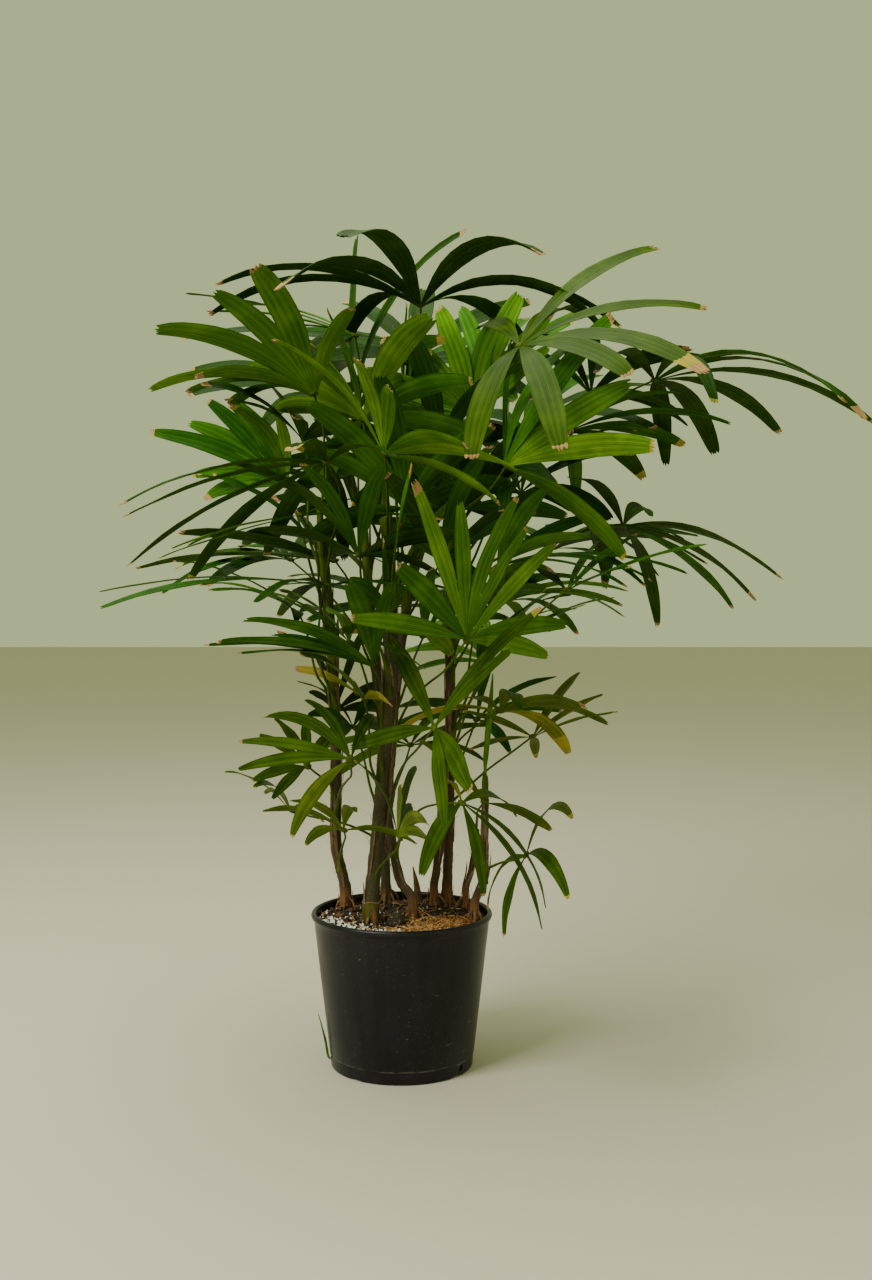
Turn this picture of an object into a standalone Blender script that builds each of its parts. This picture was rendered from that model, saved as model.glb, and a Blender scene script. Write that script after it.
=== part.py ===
"""Lady palm (Rhapis excelsa) in a black nursery pot, in metres, +Z up.

The origin is the middle of the pot's flat underside, and -Y is the side that faces the viewer.
A clump of sheathed canes stands on the potting mix. Petioles leave the canes and carry fronds,
each a fan cut to its hub into narrow leaflets that bend down under their own weight.
"""

import random
from collections import namedtuple
from math import atan2, cos, hypot, pi, radians, sin

import bmesh
import bpy
from mathutils import Quaternion, Vector
from mathutils.bvhtree import BVHTree

# The pot: a blow-moulded 10 inch nursery pot
POT_HEIGHT = 0.240
POT_RIM_RADIUS = 0.1400
POT_MOUTH_RADIUS = 0.1318
POT_NECK_RADIUS = 0.1358
POT_BASE_RADIUS = 0.1100
POT_WALL = 0.0025
POT_FLOOR = 0.003
POT_STEPS = 36
BEAD_HEIGHT = 0.010
FOOT_BAND_HEIGHT = 0.020
FOOT_BAND_STEP = 0.001
FOOT_CHAMFER = 0.003
SCALLOP_RADIUS = 0.030
SCALLOP_HEIGHT = 0.004
SCALLOP_BEARINGS = (-129, -39, 51, 141)
DRAIN_RADIUS = 0.005
DRAIN_HEIGHT = 0.013
DRAIN_BEARINGS = (-170, -35, 85)
SCALLOP_SIDES = 32
DRAIN_SIDES = 8
CUTTER_DEPTH = 0.016
BEAD_TURNS = (180, 130, 90, 50, 0, -45, -80)

# The potting mix that fills it
SOIL_TOP = 0.232
SOIL_CHAMFER = 0.004
GAP = 0.0003

# Canes: the radius of each and its route. The first point gives only the place of the foot,
# because every cane is cut flat on the mix
CANE_SIDES = 8
CANE_FLARE = 1.35
CANE_FLARE_HEIGHT = 0.030
CANE_FOOT = 0.008
CANE_TIP_MARGIN = 0.01
CANE_TIP_TAPER = 0.35
CANE_SPACING = 0.085
CANES = {
    "left": (0.0078, [(-0.092, 0.072, 0), (-0.106, 0.065, 0.33), (-0.104, 0.045, 0.48),
                      (-0.108, 0.020, 0.64), (-0.126, 0.000, 0.87)]),
    "main": (0.0105, [(-0.046, -0.038, 0), (-0.040, -0.030, 0.32), (-0.023, -0.030, 0.50),
                      (-0.015, -0.030, 0.68), (-0.024, -0.030, 0.89)]),
    "curved": (0.0062, [(0.016, -0.016, 0), (-0.003, 0.000, 0.29), (-0.020, 0.015, 0.37),
                        (-0.015, 0.025, 0.51), (0.008, 0.020, 0.71), (0.047, 0.000, 0.92)]),
    "rear": (0.0064, [(-0.028, 0.106, 0), (-0.031, 0.100, 0.35), (-0.030, 0.100, 0.50),
                      (-0.048, 0.105, 0.67), (-0.066, 0.120, 0.88)]),
    "right": (0.0070, [(0.071, 0.091, 0), (0.075, 0.092, 0.40), (0.075, 0.085, 0.60),
                       (0.077, 0.066, 0.79), (0.097, 0.050, 0.94)]),
    "slim": (0.0058, [(0.050, 0.074, 0), (0.058, 0.070, 0.32), (0.066, 0.062, 0.48)]),
    "short": (0.0052, [(0.112, -0.036, 0), (0.126, -0.026, 0.30), (0.128, -0.020, 0.46)]),
    "low": (0.0040, [(0.100, 0.060, 0), (0.110, 0.080, 0.29), (0.120, 0.096, 0.35)]),
}

# Small shoots: the route and the radius at each of its points
SPIKE_ROUTE = [(0.024, 0.104, SOIL_TOP + GAP), (0.024, 0.104, 0.240), (0.021, 0.099, 0.262),
               (0.016, 0.090, 0.290)]
SPIKE_RADII = [0.0060, 0.0058, 0.0042, 0.0008]
SPEAR_ROUTE = [(0.128, -0.020, 0.4605), (0.129, -0.022, 0.480), (0.132, -0.027, 0.520),
               (0.136, -0.034, 0.570), (0.139, -0.040, 0.611)]
SPEAR_RADII = [0.0020, 0.0040, 0.0046, 0.0036, 0.0008]
SPROUT_BEARING = -170
SPROUT_ROUTE = [(0.1094, 0.0130), (0.1136, 0.0134), (0.1161, 0.0200), (0.1204, 0.0450), (0.1303, 0.0840)]
SPROUT_RADII = [0.0014, 0.0017, 0.0020, 0.0018, 0.0006]
SHOOT_SIDES = 6

# Petioles: they leave the cane steeply, and reach the hub partly along the fan's middle line
PETIOLE_RADIUS = 0.0022
PETIOLE_POINTS = 5
PETIOLE_SIDES = 4
PETIOLE_ROOM = 1.5
PETIOLE_RISE = 0.8
PETIOLE_OUT = 0.45
PETIOLE_FIRST_REACH = 0.38
PETIOLE_LAST_REACH = 0.30
PETIOLE_FAN_SHARE = 0.5
PETIOLE_SPAN_SHARE = 0.8

# Fans and their leaflets: a blade's shape is shares of its length and of its width
HUB_RADIUS = 0.009
HUB_HEIGHT = 0.005
HUB_SIDES = 8
BLADE_THICKNESS = 0.0034
BLADE_SLENDERNESS = 90
BLADE_TIP_THICKNESS = 0.75
BLADE_START = 0.006
CLEARANCE = 0.0006
EDGE_BEND = 0.3
LEAST_BEND = 0.02
STEEPEST_TIP = 0.15
OUTER_SHORTER = 0.22
ANGLE_JITTER = 0.38
LENGTH_JITTER = (0.74, 1.14)
WIDTH_JITTER = (0.78, 1.10)
BEND_JITTER = (0.80, 1.25)
LONG_BLADE = 0.19
BLADE_FOOT_WIDTH = 0.0034
BLADE_SHAPE_LONG = ((0.22, 0.52), (0.50, 1.0), (0.80, 0.84), (1.0, 0.30))
BLADE_SHAPE_SHORT = ((0.32, 0.74), (0.70, 0.94), (1.0, 0.30))

# What a leaflet tries, in turn, when something is in its way: turn in the fan's plane and lift
# out of it, both in degrees, and a factor on its length
DODGES = [(0, 0, 1.0)] + [(turn, lift, reach) for reach in (1.0, 0.8, 0.6)
                          for turn, lift in ((0, 7), (0, -7), (6, 0), (-6, 0), (8, 8), (-8, 8),
                                             (8, -8), (-8, -8), (0, 15), (0, -15), (12, 12), (-12, 12))]

# What a petiole tries: a step along the cane, and a bulge to one side
PETIOLE_TRIES = [(step, bulge) for bulge in (0, 0.03, -0.03, 0.06, -0.06)
                 for step in (0, -0.03, 0.03, -0.06, 0.06, -0.09)]

# Each frond: its cane and the height where its petiole leaves it, its hub, the heading, lift and
# roll of the fan, how far its leaflets rise out of the fan's plane, how many they are and their
# spread, then their length, width, bend and seed
Frond = namedtuple("Frond", "cane height hub heading lift roll cup leaflets spread length width bend seed")
FRONDS = [
    Frond("curved", 0.86, (0.030, -0.050, 1.160), -95, 5, 0, 30, 9, 265, 0.34, 0.048, 70, 43),
    Frond("left", 0.80, (-0.125, -0.100, 1.025), -135, -5, -25, 50, 8, 185, 0.23, 0.036, 45, 321),
    Frond("main", 0.76, (-0.020, -0.150, 0.935), -95, 15, 35, 25, 7, 155, 0.26, 0.030, 40, 10),
    Frond("right", 0.88, (0.170, -0.180, 1.085), -15, 15, -30, 10, 8, 195, 0.30, 0.039, 45, 274),
    Frond("right", 0.82, (0.110, 0.050, 1.005), 95, 65, 30, 15, 8, 135, 0.21, 0.036, 25, 26),
    Frond("curved", 0.78, (0.155, -0.120, 0.920), -125, 60, 30, 35, 8, 235, 0.28, 0.042, 45, 255),
    Frond("right", 0.92, (0.385, 0.000, 1.055), -15, 5, 10, 15, 8, 195, 0.35, 0.033, 65, 389),
    Frond("right", 0.72, (0.345, 0.050, 0.835), -15, -20, 20, 10, 7, 210, 0.31, 0.030, 45, 306),
    Frond("left", 0.74, (-0.100, -0.200, 0.920), -175, -5, -15, 0, 8, 210, 0.33, 0.030, 30, 51),
    Frond("left", 0.70, (-0.185, 0.100, 0.900), 125, 30, 45, 45, 8, 120, 0.22, 0.030, 65, 462),
    Frond("left", 0.66, (-0.150, -0.050, 0.850), -175, -10, 5, 5, 5, 265, 0.29, 0.024, 10, 67),
    Frond("rear", 0.60, (-0.105, 0.060, 0.780), 160, -20, 0, 30, 6, 125, 0.34, 0.039, 20, 33),
    Frond("left", 0.56, (-0.110, -0.080, 0.745), -120, 0, 0, 10, 6, 250, 0.38, 0.027, 30, 1090),
    Frond("main", 0.46, (-0.040, -0.100, 0.630), -130, -20, -15, 45, 7, 170, 0.27, 0.030, 30, 35),
    Frond("main", 0.58, (-0.015, -0.120, 0.705), -15, 80, -10, 5, 6, 115, 0.21, 0.030, 55, 250),
    Frond("curved", 0.50, (0.095, -0.250, 0.675), 5, 75, 45, 5, 9, 175, 0.25, 0.030, 30, 1342),
    Frond("right", 0.62, (0.150, -0.050, 0.780), -20, -35, 5, 50, 6, 160, 0.26, 0.027, 40, 1101),
    Frond("right", 0.54, (0.135, 0.100, 0.705), -5, -10, 15, 40, 7, 135, 0.25, 0.026, 65, 88),
    Frond("right", 0.50, (0.245, -0.100, 0.740), 30, 10, 0, 20, 5, 155, 0.23, 0.021, 15, 47),
    Frond("right", 0.66, (0.300, 0.120, 0.830), 10, -15, 5, 10, 5, 130, 0.23, 0.021, 45, 1090),
    Frond("rear", 0.84, (-0.075, 0.100, 1.135), 155, 25, 5, 0, 8, 175, 0.30, 0.030, 20, 778),
    Frond("rear", 0.78, (-0.080, 0.160, 1.005), -150, 65, 5, 20, 6, 140, 0.38, 0.027, 90, 85),
    Frond("rear", 0.72, (0.005, 0.140, 1.035), -165, 60, 10, 30, 6, 115, 0.17, 0.036, 55, 1121),
    Frond("right", 0.86, (0.300, 0.120, 1.045), -65, 25, 20, 10, 7, 125, 0.22, 0.024, 50, 45),
    Frond("right", 0.76, (0.265, 0.100, 0.985), 10, 20, 25, 0, 6, 140, 0.23, 0.030, 40, 760),
    Frond("curved", 0.40, (0.050, -0.220, 0.550), -5, 55, -35, 10, 6, 250, 0.22, 0.033, 20, 75),
    Frond("slim", 0.44, (0.150, -0.050, 0.555), -70, 20, 10, 15, 6, 205, 0.20, 0.028, 55, 34),
    Frond("slim", 0.38, (0.205, 0.050, 0.505), -55, 30, 5, 15, 6, 255, 0.17, 0.019, 20, 1098),
    Frond("curved", 0.33, (0.090, -0.200, 0.440), 0, -30, -20, 0, 6, 210, 0.21, 0.022, 55, 85),
    Frond("low", 0.33, (0.125, -0.100, 0.425), -60, 20, 30, 20, 5, 135, 0.17, 0.026, 40, 1065),
    Frond("short", 0.30, (0.185, -0.120, 0.350), -10, 50, -15, 10, 4, 210, 0.22, 0.022, 95, 66),
    Frond("main", 0.30, (0.000, -0.140, 0.380), -165, 50, 10, 35, 6, 155, 0.19, 0.021, 75, 46),
    Frond("left", 0.38, (-0.070, -0.180, 0.500), -160, 60, -95, 35, 7, 185, 0.17, 0.021, 60, 1125),
    Frond("left", 0.42, (-0.145, 0.000, 0.465), 165, 40, 30, 10, 6, 170, 0.11, 0.021, 30, 83),
    Frond("left", 0.30, (-0.085, -0.080, 0.380), -125, 40, -5, 15, 5, 160, 0.14, 0.021, 60, 1091),
    Frond("rear", 0.32, (-0.175, 0.060, 0.385), -155, 30, 0, 25, 4, 155, 0.17, 0.019, 50, 1106),
    Frond("main", 0.80, (-0.055, -0.060, 0.990), -105, 50, 15, 15, 8, 240, 0.23, 0.038, 50, 1026),
    Frond("left", 0.50, (-0.105, 0.090, 0.540), 110, 60, -40, 20, 6, 155, 0.16, 0.018, 65, 298),
    Frond("main", 0.44, (-0.055, -0.060, 0.575), -175, 45, -10, 10, 5, 175, 0.22, 0.027, 40, 1503),
    Frond("rear", 0.80, (-0.140, 0.260, 1.060), 120, 30, 5, 15, 8, 215, 0.25, 0.036, 45, 41),
    Frond("rear", 0.76, (0.020, 0.280, 1.120), 80, 35, -5, 15, 9, 215, 0.27, 0.042, 40, 42),
    Frond("right", 0.84, (0.200, 0.260, 1.000), 55, 30, 5, 15, 8, 205, 0.28, 0.036, 45, 1057),
    Frond("right", 0.70, (0.250, 0.220, 0.800), 45, 10, -10, 15, 7, 190, 0.26, 0.030, 40, 44),
    Frond("rear", 0.62, (-0.190, 0.230, 0.780), 140, 15, 5, 15, 7, 200, 0.27, 0.030, 45, 1066),
    Frond("rear", 0.54, (-0.020, 0.270, 0.700), 90, 20, 0, 15, 7, 200, 0.26, 0.030, 40, 1060),
    Frond("right", 0.46, (0.140, 0.240, 0.610), 70, 20, 20, 25, 7, 175, 0.24, 0.027, 35, 1068),
    Frond("rear", 0.36, (0.010, 0.220, 0.470), 95, 25, 5, 15, 6, 185, 0.19, 0.024, 45, 1062),
]
FROND_GREENS = ((0.028, 0.085, 0.014, 1.0), (0.050, 0.135, 0.020, 1.0), (0.085, 0.190, 0.028, 1.0))

UP = Vector((0.0, 0.0, 1.0))


def material(name, colour, roughness):
    """A plain Principled material."""
    paint = bpy.data.materials.new(name)
    paint.use_nodes = True
    shader = paint.node_tree.nodes["Principled BSDF"]
    shader.inputs["Base Color"].default_value = colour
    shader.inputs["Roughness"].default_value = roughness
    shader.inputs["Metallic"].default_value = 0.0
    return paint


def add_object(name, data, collection, paint=None):
    """Link a new object to a collection."""
    thing = bpy.data.objects.new(name, data)
    collection.objects.link(thing)
    if paint:
        data.materials.append(paint)
    return thing


def mesh_from(name, points, faces):
    """A mesh of the given loft, closed and facing outwards."""
    mesh = bpy.data.meshes.new(name)
    mesh.from_pydata(points, [], faces)
    shape = bmesh.new()
    shape.from_mesh(mesh)
    bmesh.ops.recalc_face_normals(shape, faces=shape.faces)
    shape.to_mesh(mesh)
    shape.free()
    return mesh


def turned(name, profile, collection, paint):
    """A profile of (radius, height) points turned round the Z axis."""
    mesh = bpy.data.meshes.new(name)
    edges = [(i, i + 1) for i in range(len(profile) - 1)]
    mesh.from_pydata([(radius, 0.0, height) for radius, height in profile], edges, [])
    thing = add_object(name, mesh, collection, paint)
    screw = thing.modifiers.new("turn", "SCREW")
    screw.steps = screw.render_steps = POT_STEPS
    screw.use_merge_vertices = True
    screw.merge_threshold = 0.0001
    return thing


def tube(name, points, radii, sides, collection, paint=None):
    """A round bar along a route, with a radius at each point and closed ends."""
    curve = bpy.data.curves.new(name, "CURVE")
    curve.dimensions = "3D"
    curve.bevel_depth = 1.0
    curve.bevel_resolution = (sides - 4) // 2
    curve.use_fill_caps = True
    spline = curve.splines.new("POLY")
    spline.points.add(len(points) - 1)
    for place, point, radius in zip(spline.points, points, radii):
        place.co = (*point, 1.0)
        place.radius = radius
    rail = bpy.data.objects.new(name + "_route", curve)
    collection.objects.link(rail)
    bpy.context.view_layer.update()
    seen = rail.evaluated_get(bpy.context.evaluated_depsgraph_get())
    mesh = bpy.data.meshes.new_from_object(seen)
    bpy.data.objects.remove(rail)
    bpy.data.curves.remove(curve)
    shape = bmesh.new()
    shape.from_mesh(mesh)
    bmesh.ops.remove_doubles(shape, verts=shape.verts, dist=0.00001)
    bmesh.ops.recalc_face_normals(shape, faces=shape.faces)
    shape.to_mesh(mesh)
    shape.free()
    return add_object(name, mesh, collection, paint)


def wall_radius(height):
    """The pot's inner radius at a height."""
    top = POT_HEIGHT - BEAD_HEIGHT / 2
    base = POT_BASE_RADIUS - POT_WALL
    return base + (POT_MOUTH_RADIUS - base) * height / top


def make_pot(collection, cutters, paint):
    """A tapered pot with a rolled rim, a foot band, scallops and drain holes."""
    bead = (POT_RIM_RADIUS - POT_MOUTH_RADIUS) / 2
    bead_top = [(POT_MOUTH_RADIUS + bead + bead * cos(radians(turn)),
                 POT_HEIGHT - BEAD_HEIGHT / 2 + BEAD_HEIGHT / 2 * sin(radians(turn)))
                for turn in BEAD_TURNS]
    foot = POT_BASE_RADIUS + (POT_NECK_RADIUS - POT_BASE_RADIUS) * FOOT_BAND_HEIGHT / POT_HEIGHT
    profile = [(0.0, POT_FLOOR), (wall_radius(POT_FLOOR), POT_FLOOR), *bead_top,
               (POT_NECK_RADIUS, POT_HEIGHT - BEAD_HEIGHT - FOOT_BAND_STEP),
               (foot, FOOT_BAND_HEIGHT + FOOT_BAND_STEP), (foot - FOOT_BAND_STEP, FOOT_BAND_HEIGHT),
               (POT_BASE_RADIUS, FOOT_CHAMFER), (POT_BASE_RADIUS - FOOT_CHAMFER, 0.0), (0.0, 0.0)]
    pot = turned("pot", profile, collection, paint)
    for bearings, radius, height, sides in (
            (SCALLOP_BEARINGS, SCALLOP_RADIUS, SCALLOP_HEIGHT - SCALLOP_RADIUS, SCALLOP_SIDES),
            (DRAIN_BEARINGS, DRAIN_RADIUS, DRAIN_HEIGHT, DRAIN_SIDES)):
        for bearing in bearings:
            out = Vector((cos(radians(bearing)), sin(radians(bearing)), 0.0))
            place = out * POT_BASE_RADIUS + UP * height
            bpy.ops.mesh.primitive_cylinder_add(vertices=sides, radius=radius, depth=CUTTER_DEPTH,
                                                location=place, rotation=(0.0, pi / 2, radians(bearing)))
            cutter = bpy.context.object
            cutter.name = "pot_cutter"
            cutter.display_type = "WIRE"
            cutter.hide_render = True
            for home in cutter.users_collection:
                home.objects.unlink(cutter)
            cutters.objects.link(cutter)
    holes = pot.modifiers.new("holes", "BOOLEAN")
    holes.operation = "DIFFERENCE"
    holes.operand_type = "COLLECTION"
    holes.collection = cutters
    holes.solver = "EXACT"


def make_soil(collection, paint):
    """The potting mix, just clear of the pot all round."""
    clear = 2 * GAP
    bottom = POT_FLOOR + clear
    profile = [(0.0, SOIL_TOP), (wall_radius(SOIL_TOP) - clear - SOIL_CHAMFER, SOIL_TOP),
               (wall_radius(SOIL_TOP - SOIL_CHAMFER) - clear, SOIL_TOP - SOIL_CHAMFER),
               (wall_radius(bottom) - clear, bottom), (0.0, bottom)]
    turned("soil", profile, collection, paint)


def smooth_route(knots, spacing):
    """Points about a spacing apart on a smooth curve through the knots."""
    ends = [knots[0] * 2 - knots[1], *knots, knots[-1] * 2 - knots[-2]]
    route = [knots[0]]
    for before, start, end, after in zip(ends, ends[1:], ends[2:], ends[3:]):
        steps = max(1, round((end - start).length / spacing))
        for step in range(1, steps + 1):
            t = step / steps
            route.append(0.5 * (2 * start + (end - before) * t
                                + (2 * before - 5 * start + 4 * end - after) * t * t
                                + (3 * start - before - 3 * end + after) * t * t * t))
    return route


def cane_route(name):
    """A cane's route and the radius at each point, from its flat cut up."""
    radius, knots = CANES[name]
    foot = Vector((knots[0][0], knots[0][1], SOIL_TOP + GAP))
    collar = foot + UP * CANE_FLARE_HEIGHT
    rest = smooth_route([collar] + [Vector(knot) for knot in knots[1:]], CANE_SPACING)
    route = [foot, foot + UP * CANE_FOOT, *rest]
    radii = [radius * CANE_FLARE, radius * CANE_FLARE] + [radius] * len(rest)
    radii[-1] = radius * CANE_TIP_TAPER
    return route, radii


def point_on(name, height):
    """The middle and the radius of a cane at a height."""
    route, radii = cane_route(name)
    height = min(height, route[-1].z - CANE_TIP_MARGIN)
    for low, high in zip(range(len(route) - 1), range(1, len(route))):
        if route[low].z <= height <= route[high].z:
            share = (height - route[low].z) / (route[high].z - route[low].z)
            return route[low].lerp(route[high], share), max(radii[low], radii[high])
    return route[-1], radii[-1]


def sweep(points, radii, sides):
    """Rough points and faces of a bar, a little fatter than it, for the tests of clearance."""
    verts, faces = [], []
    for i, (point, radius) in enumerate(zip(points, radii)):
        ahead = points[min(i + 1, len(points) - 1)] - points[max(i - 1, 0)]
        ahead.normalize()
        across = ahead.cross(UP if abs(ahead.z) < 0.9 else Vector((1.0, 0.0, 0.0))).normalized()
        other = ahead.cross(across)
        fat = radius / cos(pi / sides)
        for side in range(sides):
            turn = 2 * pi * side / sides
            verts.append(point + fat * (cos(turn) * across + sin(turn) * other))
    for ring in range(len(points) - 1):
        for side in range(sides):
            first, second = ring * sides + side, ring * sides + (side + 1) % sides
            faces.append((first, second, second + sides, first + sides))
    faces.append(tuple(range(sides)))
    faces.append(tuple(range(len(verts) - sides, len(verts))))
    return verts, faces


class Filled:
    """The room that is taken so far."""

    def __init__(self):
        self.solids = []

    def add(self, owner, verts, faces):
        """Take the room of one more solid."""
        tree = BVHTree.FromPolygons(verts, faces)
        low = [min(vert[axis] for vert in verts) for axis in range(3)]
        high = [max(vert[axis] for vert in verts) for axis in range(3)]
        self.solids.append((owner, low, high, tree))

    def clear(self, owner, verts, faces):
        """True where a solid would touch none of those before it, its owner's apart."""
        low = [min(vert[axis] for vert in verts) for axis in range(3)]
        high = [max(vert[axis] for vert in verts) for axis in range(3)]
        tree = None
        for other_owner, other_low, other_high, other in self.solids:
            apart = any(low[axis] > other_high[axis] or high[axis] < other_low[axis] for axis in range(3))
            if other_owner == owner or apart:
                continue
            tree = tree or BVHTree.FromPolygons(verts, faces)
            if tree.overlap(other):
                return False
        return True


def fan_axes(frond):
    """The fan's middle direction, its side and its upper face."""
    heading, lift, roll = radians(frond.heading), radians(frond.lift), radians(frond.roll)
    along = Vector((cos(heading) * cos(lift), sin(heading) * cos(lift), sin(lift)))
    side = Vector((sin(heading), -cos(heading), 0.0))
    top = side.cross(along)
    return along, cos(roll) * side + sin(roll) * top, cos(roll) * top - sin(roll) * side


def leaflets(frond):
    """Angle in the fan, length, width and bend of each leaflet of a frond."""
    rule = random.Random(frond.seed)
    for number in range(frond.leaflets):
        place = number / (frond.leaflets - 1) - 0.5
        step = frond.spread / (frond.leaflets - 1)
        angle = frond.spread * place + rule.uniform(-ANGLE_JITTER, ANGLE_JITTER) * step
        length = frond.length * (1 - OUTER_SHORTER * (2 * place) ** 2) * rule.uniform(*LENGTH_JITTER)
        width = frond.width * rule.uniform(*WIDTH_JITTER)
        bend = frond.bend * rule.uniform(*BEND_JITTER)
        yield angle, length, width, bend


def leaf_arc(frond, angle, lift, length, bend):
    """A leaflet's middle line as an arc that sinks towards its tip."""
    along, side, top = fan_axes(frond)
    outward = cos(radians(angle)) * along + sin(radians(angle)) * side
    start = cos(radians(lift)) * outward + sin(radians(lift)) * top
    across = start.cross(top).normalized()
    level = Vector((start.x, start.y, 0.0)).normalized()
    hinge = level.cross(UP)
    rise = atan2(start.z, hypot(start.x, start.y))
    flatness = EDGE_BEND + (1 - EDGE_BEND) * abs(across.dot(hinge))
    turn = max(LEAST_BEND, min(radians(bend) * flatness, rise + pi / 2 - STEEPEST_TIP))
    foot = Vector(frond.hub) + BLADE_START * outward

    def at(share):
        """Place, direction and width direction at a share of the length."""
        sunk = turn * share
        out = length * (sin(rise) - sin(rise - sunk)) / turn
        high = length * (cos(rise - sunk) - cos(rise)) / turn
        lean = Quaternion(hinge, -sunk)
        return foot + out * level + high * UP, lean @ start, lean @ across

    return at


def blade(at, length, width, extra):
    """A loft of three-sided sections along a leaflet: two edges and a raised rib."""
    verts, faces = [], []
    shape = BLADE_SHAPE_LONG if length > LONG_BLADE else BLADE_SHAPE_SHORT
    shape = ((0.0, BLADE_FOOT_WIDTH / width), *shape)
    foot = at(0)
    upright = 1 if foot[2].cross(foot[1]).z > 0 else -1
    for share, fullness in shape:
        point, ahead, across = at(share)
        face = upright * across.cross(ahead)
        half = width * fullness / 2 + extra
        tall = max(BLADE_THICKNESS, length / BLADE_SLENDERNESS)
        tall = tall * (BLADE_TIP_THICKNESS if share == 1 else 1.0) + 2 * extra
        verts += [point - half * across - tall / 3 * face, point + half * across - tall / 3 * face,
                  point + tall * 2 / 3 * face]
    for ring in range(len(shape) - 1):
        a = 3 * ring
        faces += [(a, a + 1, a + 4, a + 3), (a + 1, a + 2, a + 5, a + 4), (a + 2, a, a + 3, a + 5)]
    faces += [(0, 2, 1), tuple(len(verts) - 3 + i for i in range(3))]
    return verts, faces


def petiole_route(frond, step, bulge):
    """A petiole's points, from just off its cane to the hub."""
    foot, cane_radius = point_on(frond.cane, frond.height + step)
    hub = Vector(frond.hub)
    away = Vector((hub.x - foot.x, hub.y - foot.y, 0.0)).normalized()
    sideways = away.cross(UP)
    start = foot + away * (cane_radius / cos(pi / CANE_SIDES) + PETIOLE_ROOM * PETIOLE_RADIUS + GAP)
    span = (hub - start).length
    arrive = (fan_axes(frond)[0] * PETIOLE_FAN_SHARE
              + (hub - start).normalized() * PETIOLE_SPAN_SHARE).normalized()
    leave = (UP * PETIOLE_RISE + away * PETIOLE_OUT).normalized()
    first = start + leave * span * PETIOLE_FIRST_REACH + sideways * bulge
    last = hub - arrive * span * PETIOLE_LAST_REACH + sideways * bulge
    route = []
    for number in range(PETIOLE_POINTS):
        t = number / (PETIOLE_POINTS - 1)
        route.append((1 - t) ** 3 * start + 3 * (1 - t) ** 2 * t * first
                     + 3 * (1 - t) * t * t * last + t ** 3 * hub)
    return route


def place_petiole(name, frond, filled):
    """The first route tried for a petiole that passes the canes and the petioles before it."""
    top = fan_axes(frond)[2]
    hub = Vector(frond.hub)
    disc = sweep([hub - top * HUB_HEIGHT / 2, hub + top * HUB_HEIGHT / 2],
                 [HUB_RADIUS + CLEARANCE] * 2, HUB_SIDES)
    for step, bulge in PETIOLE_TRIES:
        route = petiole_route(frond, step, bulge)
        fat = [PETIOLE_RADIUS + CLEARANCE] * PETIOLE_POINTS
        if filled.clear(name, *sweep(route, fat, PETIOLE_SIDES)) and filled.clear(name, *disc):
            break
    filled.add(name, *sweep(route, [PETIOLE_RADIUS] * PETIOLE_POINTS, PETIOLE_SIDES))
    filled.add(name, *disc)
    return route


def place_leaflets(name, frond, filled):
    """The leaflets of a frond that fit, each bent aside or shortened where something is near."""
    chosen = []
    for angle, length, width, bend in leaflets(frond):
        for turn, lift, reach in DODGES:
            at = leaf_arc(frond, angle + turn, frond.cup + lift, length * reach, bend)
            if filled.clear(name, *blade(at, length * reach, width, CLEARANCE)):
                chosen.append((at, length * reach, width))
                break
    for at, length, width in chosen:
        filled.add(name, *blade(at, length, width, 0.0))
    return chosen


def make_frond(name, frond, route, chosen, collection, paint):
    """Join a frond's hub, petiole and leaflets into one solid."""
    loose = bpy.data.collections.new(name + "_pieces")
    bpy.context.scene.collection.children.link(loose)
    tilt = UP.rotation_difference(fan_axes(frond)[2])
    mesh = bpy.data.meshes.new(name)
    shape = bmesh.new()
    bmesh.ops.create_cone(shape, cap_ends=True, segments=HUB_SIDES, radius1=HUB_RADIUS, radius2=HUB_RADIUS,
                          depth=HUB_HEIGHT)
    bmesh.ops.rotate(shape, verts=shape.verts, matrix=tilt.to_matrix())
    bmesh.ops.translate(shape, verts=shape.verts, vec=frond.hub)
    shape.to_mesh(mesh)
    shape.free()
    thing = add_object(name, mesh, collection, paint)
    tube(name + "_petiole", route, [PETIOLE_RADIUS] * PETIOLE_POINTS, PETIOLE_SIDES, loose)
    for number, (at, length, width) in enumerate(chosen):
        add_object(f"{name}_leaflet_{number}", mesh_from(name, *blade(at, length, width, 0.0)), loose)
    union = thing.modifiers.new("join", "BOOLEAN")
    union.operation = "UNION"
    union.operand_type = "COLLECTION"
    union.collection = loose
    union.solver = "MANIFOLD"
    bpy.context.view_layer.objects.active = thing
    bpy.ops.object.modifier_apply(modifier=union.name)
    for piece in list(loose.objects):
        bpy.data.objects.remove(piece)
    bpy.data.collections.remove(loose)


def make_shoots(collection, filled, spike_paint, green_paint):
    """A spike of new growth on the mix, an unopened leaf, and a sprout out of a drain hole."""
    out = Vector((cos(radians(SPROUT_BEARING)), sin(radians(SPROUT_BEARING)), 0.0))
    sprout = [out * radius + UP * height for radius, height in SPROUT_ROUTE]
    for name, route, radii, paint in (
            ("spike_shoot", [Vector(point) for point in SPIKE_ROUTE], SPIKE_RADII, spike_paint),
            ("spear_leaf", [Vector(point) for point in SPEAR_ROUTE], SPEAR_RADII, green_paint),
            ("drain_sprout", sprout, SPROUT_RADII, green_paint)):
        tube(name, route, radii, SHOOT_SIDES, collection, paint)
        filled.add(name, *sweep(route, radii, SHOOT_SIDES))


def make_canes(collection, filled, paint):
    """The sheathed canes, each from its flat cut on the mix to its tip."""
    for name in CANES:
        route, radii = cane_route(name)
        tube("cane_" + name, route, radii, CANE_SIDES, collection, paint)
        filled.add(name, *sweep(route, radii, CANE_SIDES))


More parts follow.
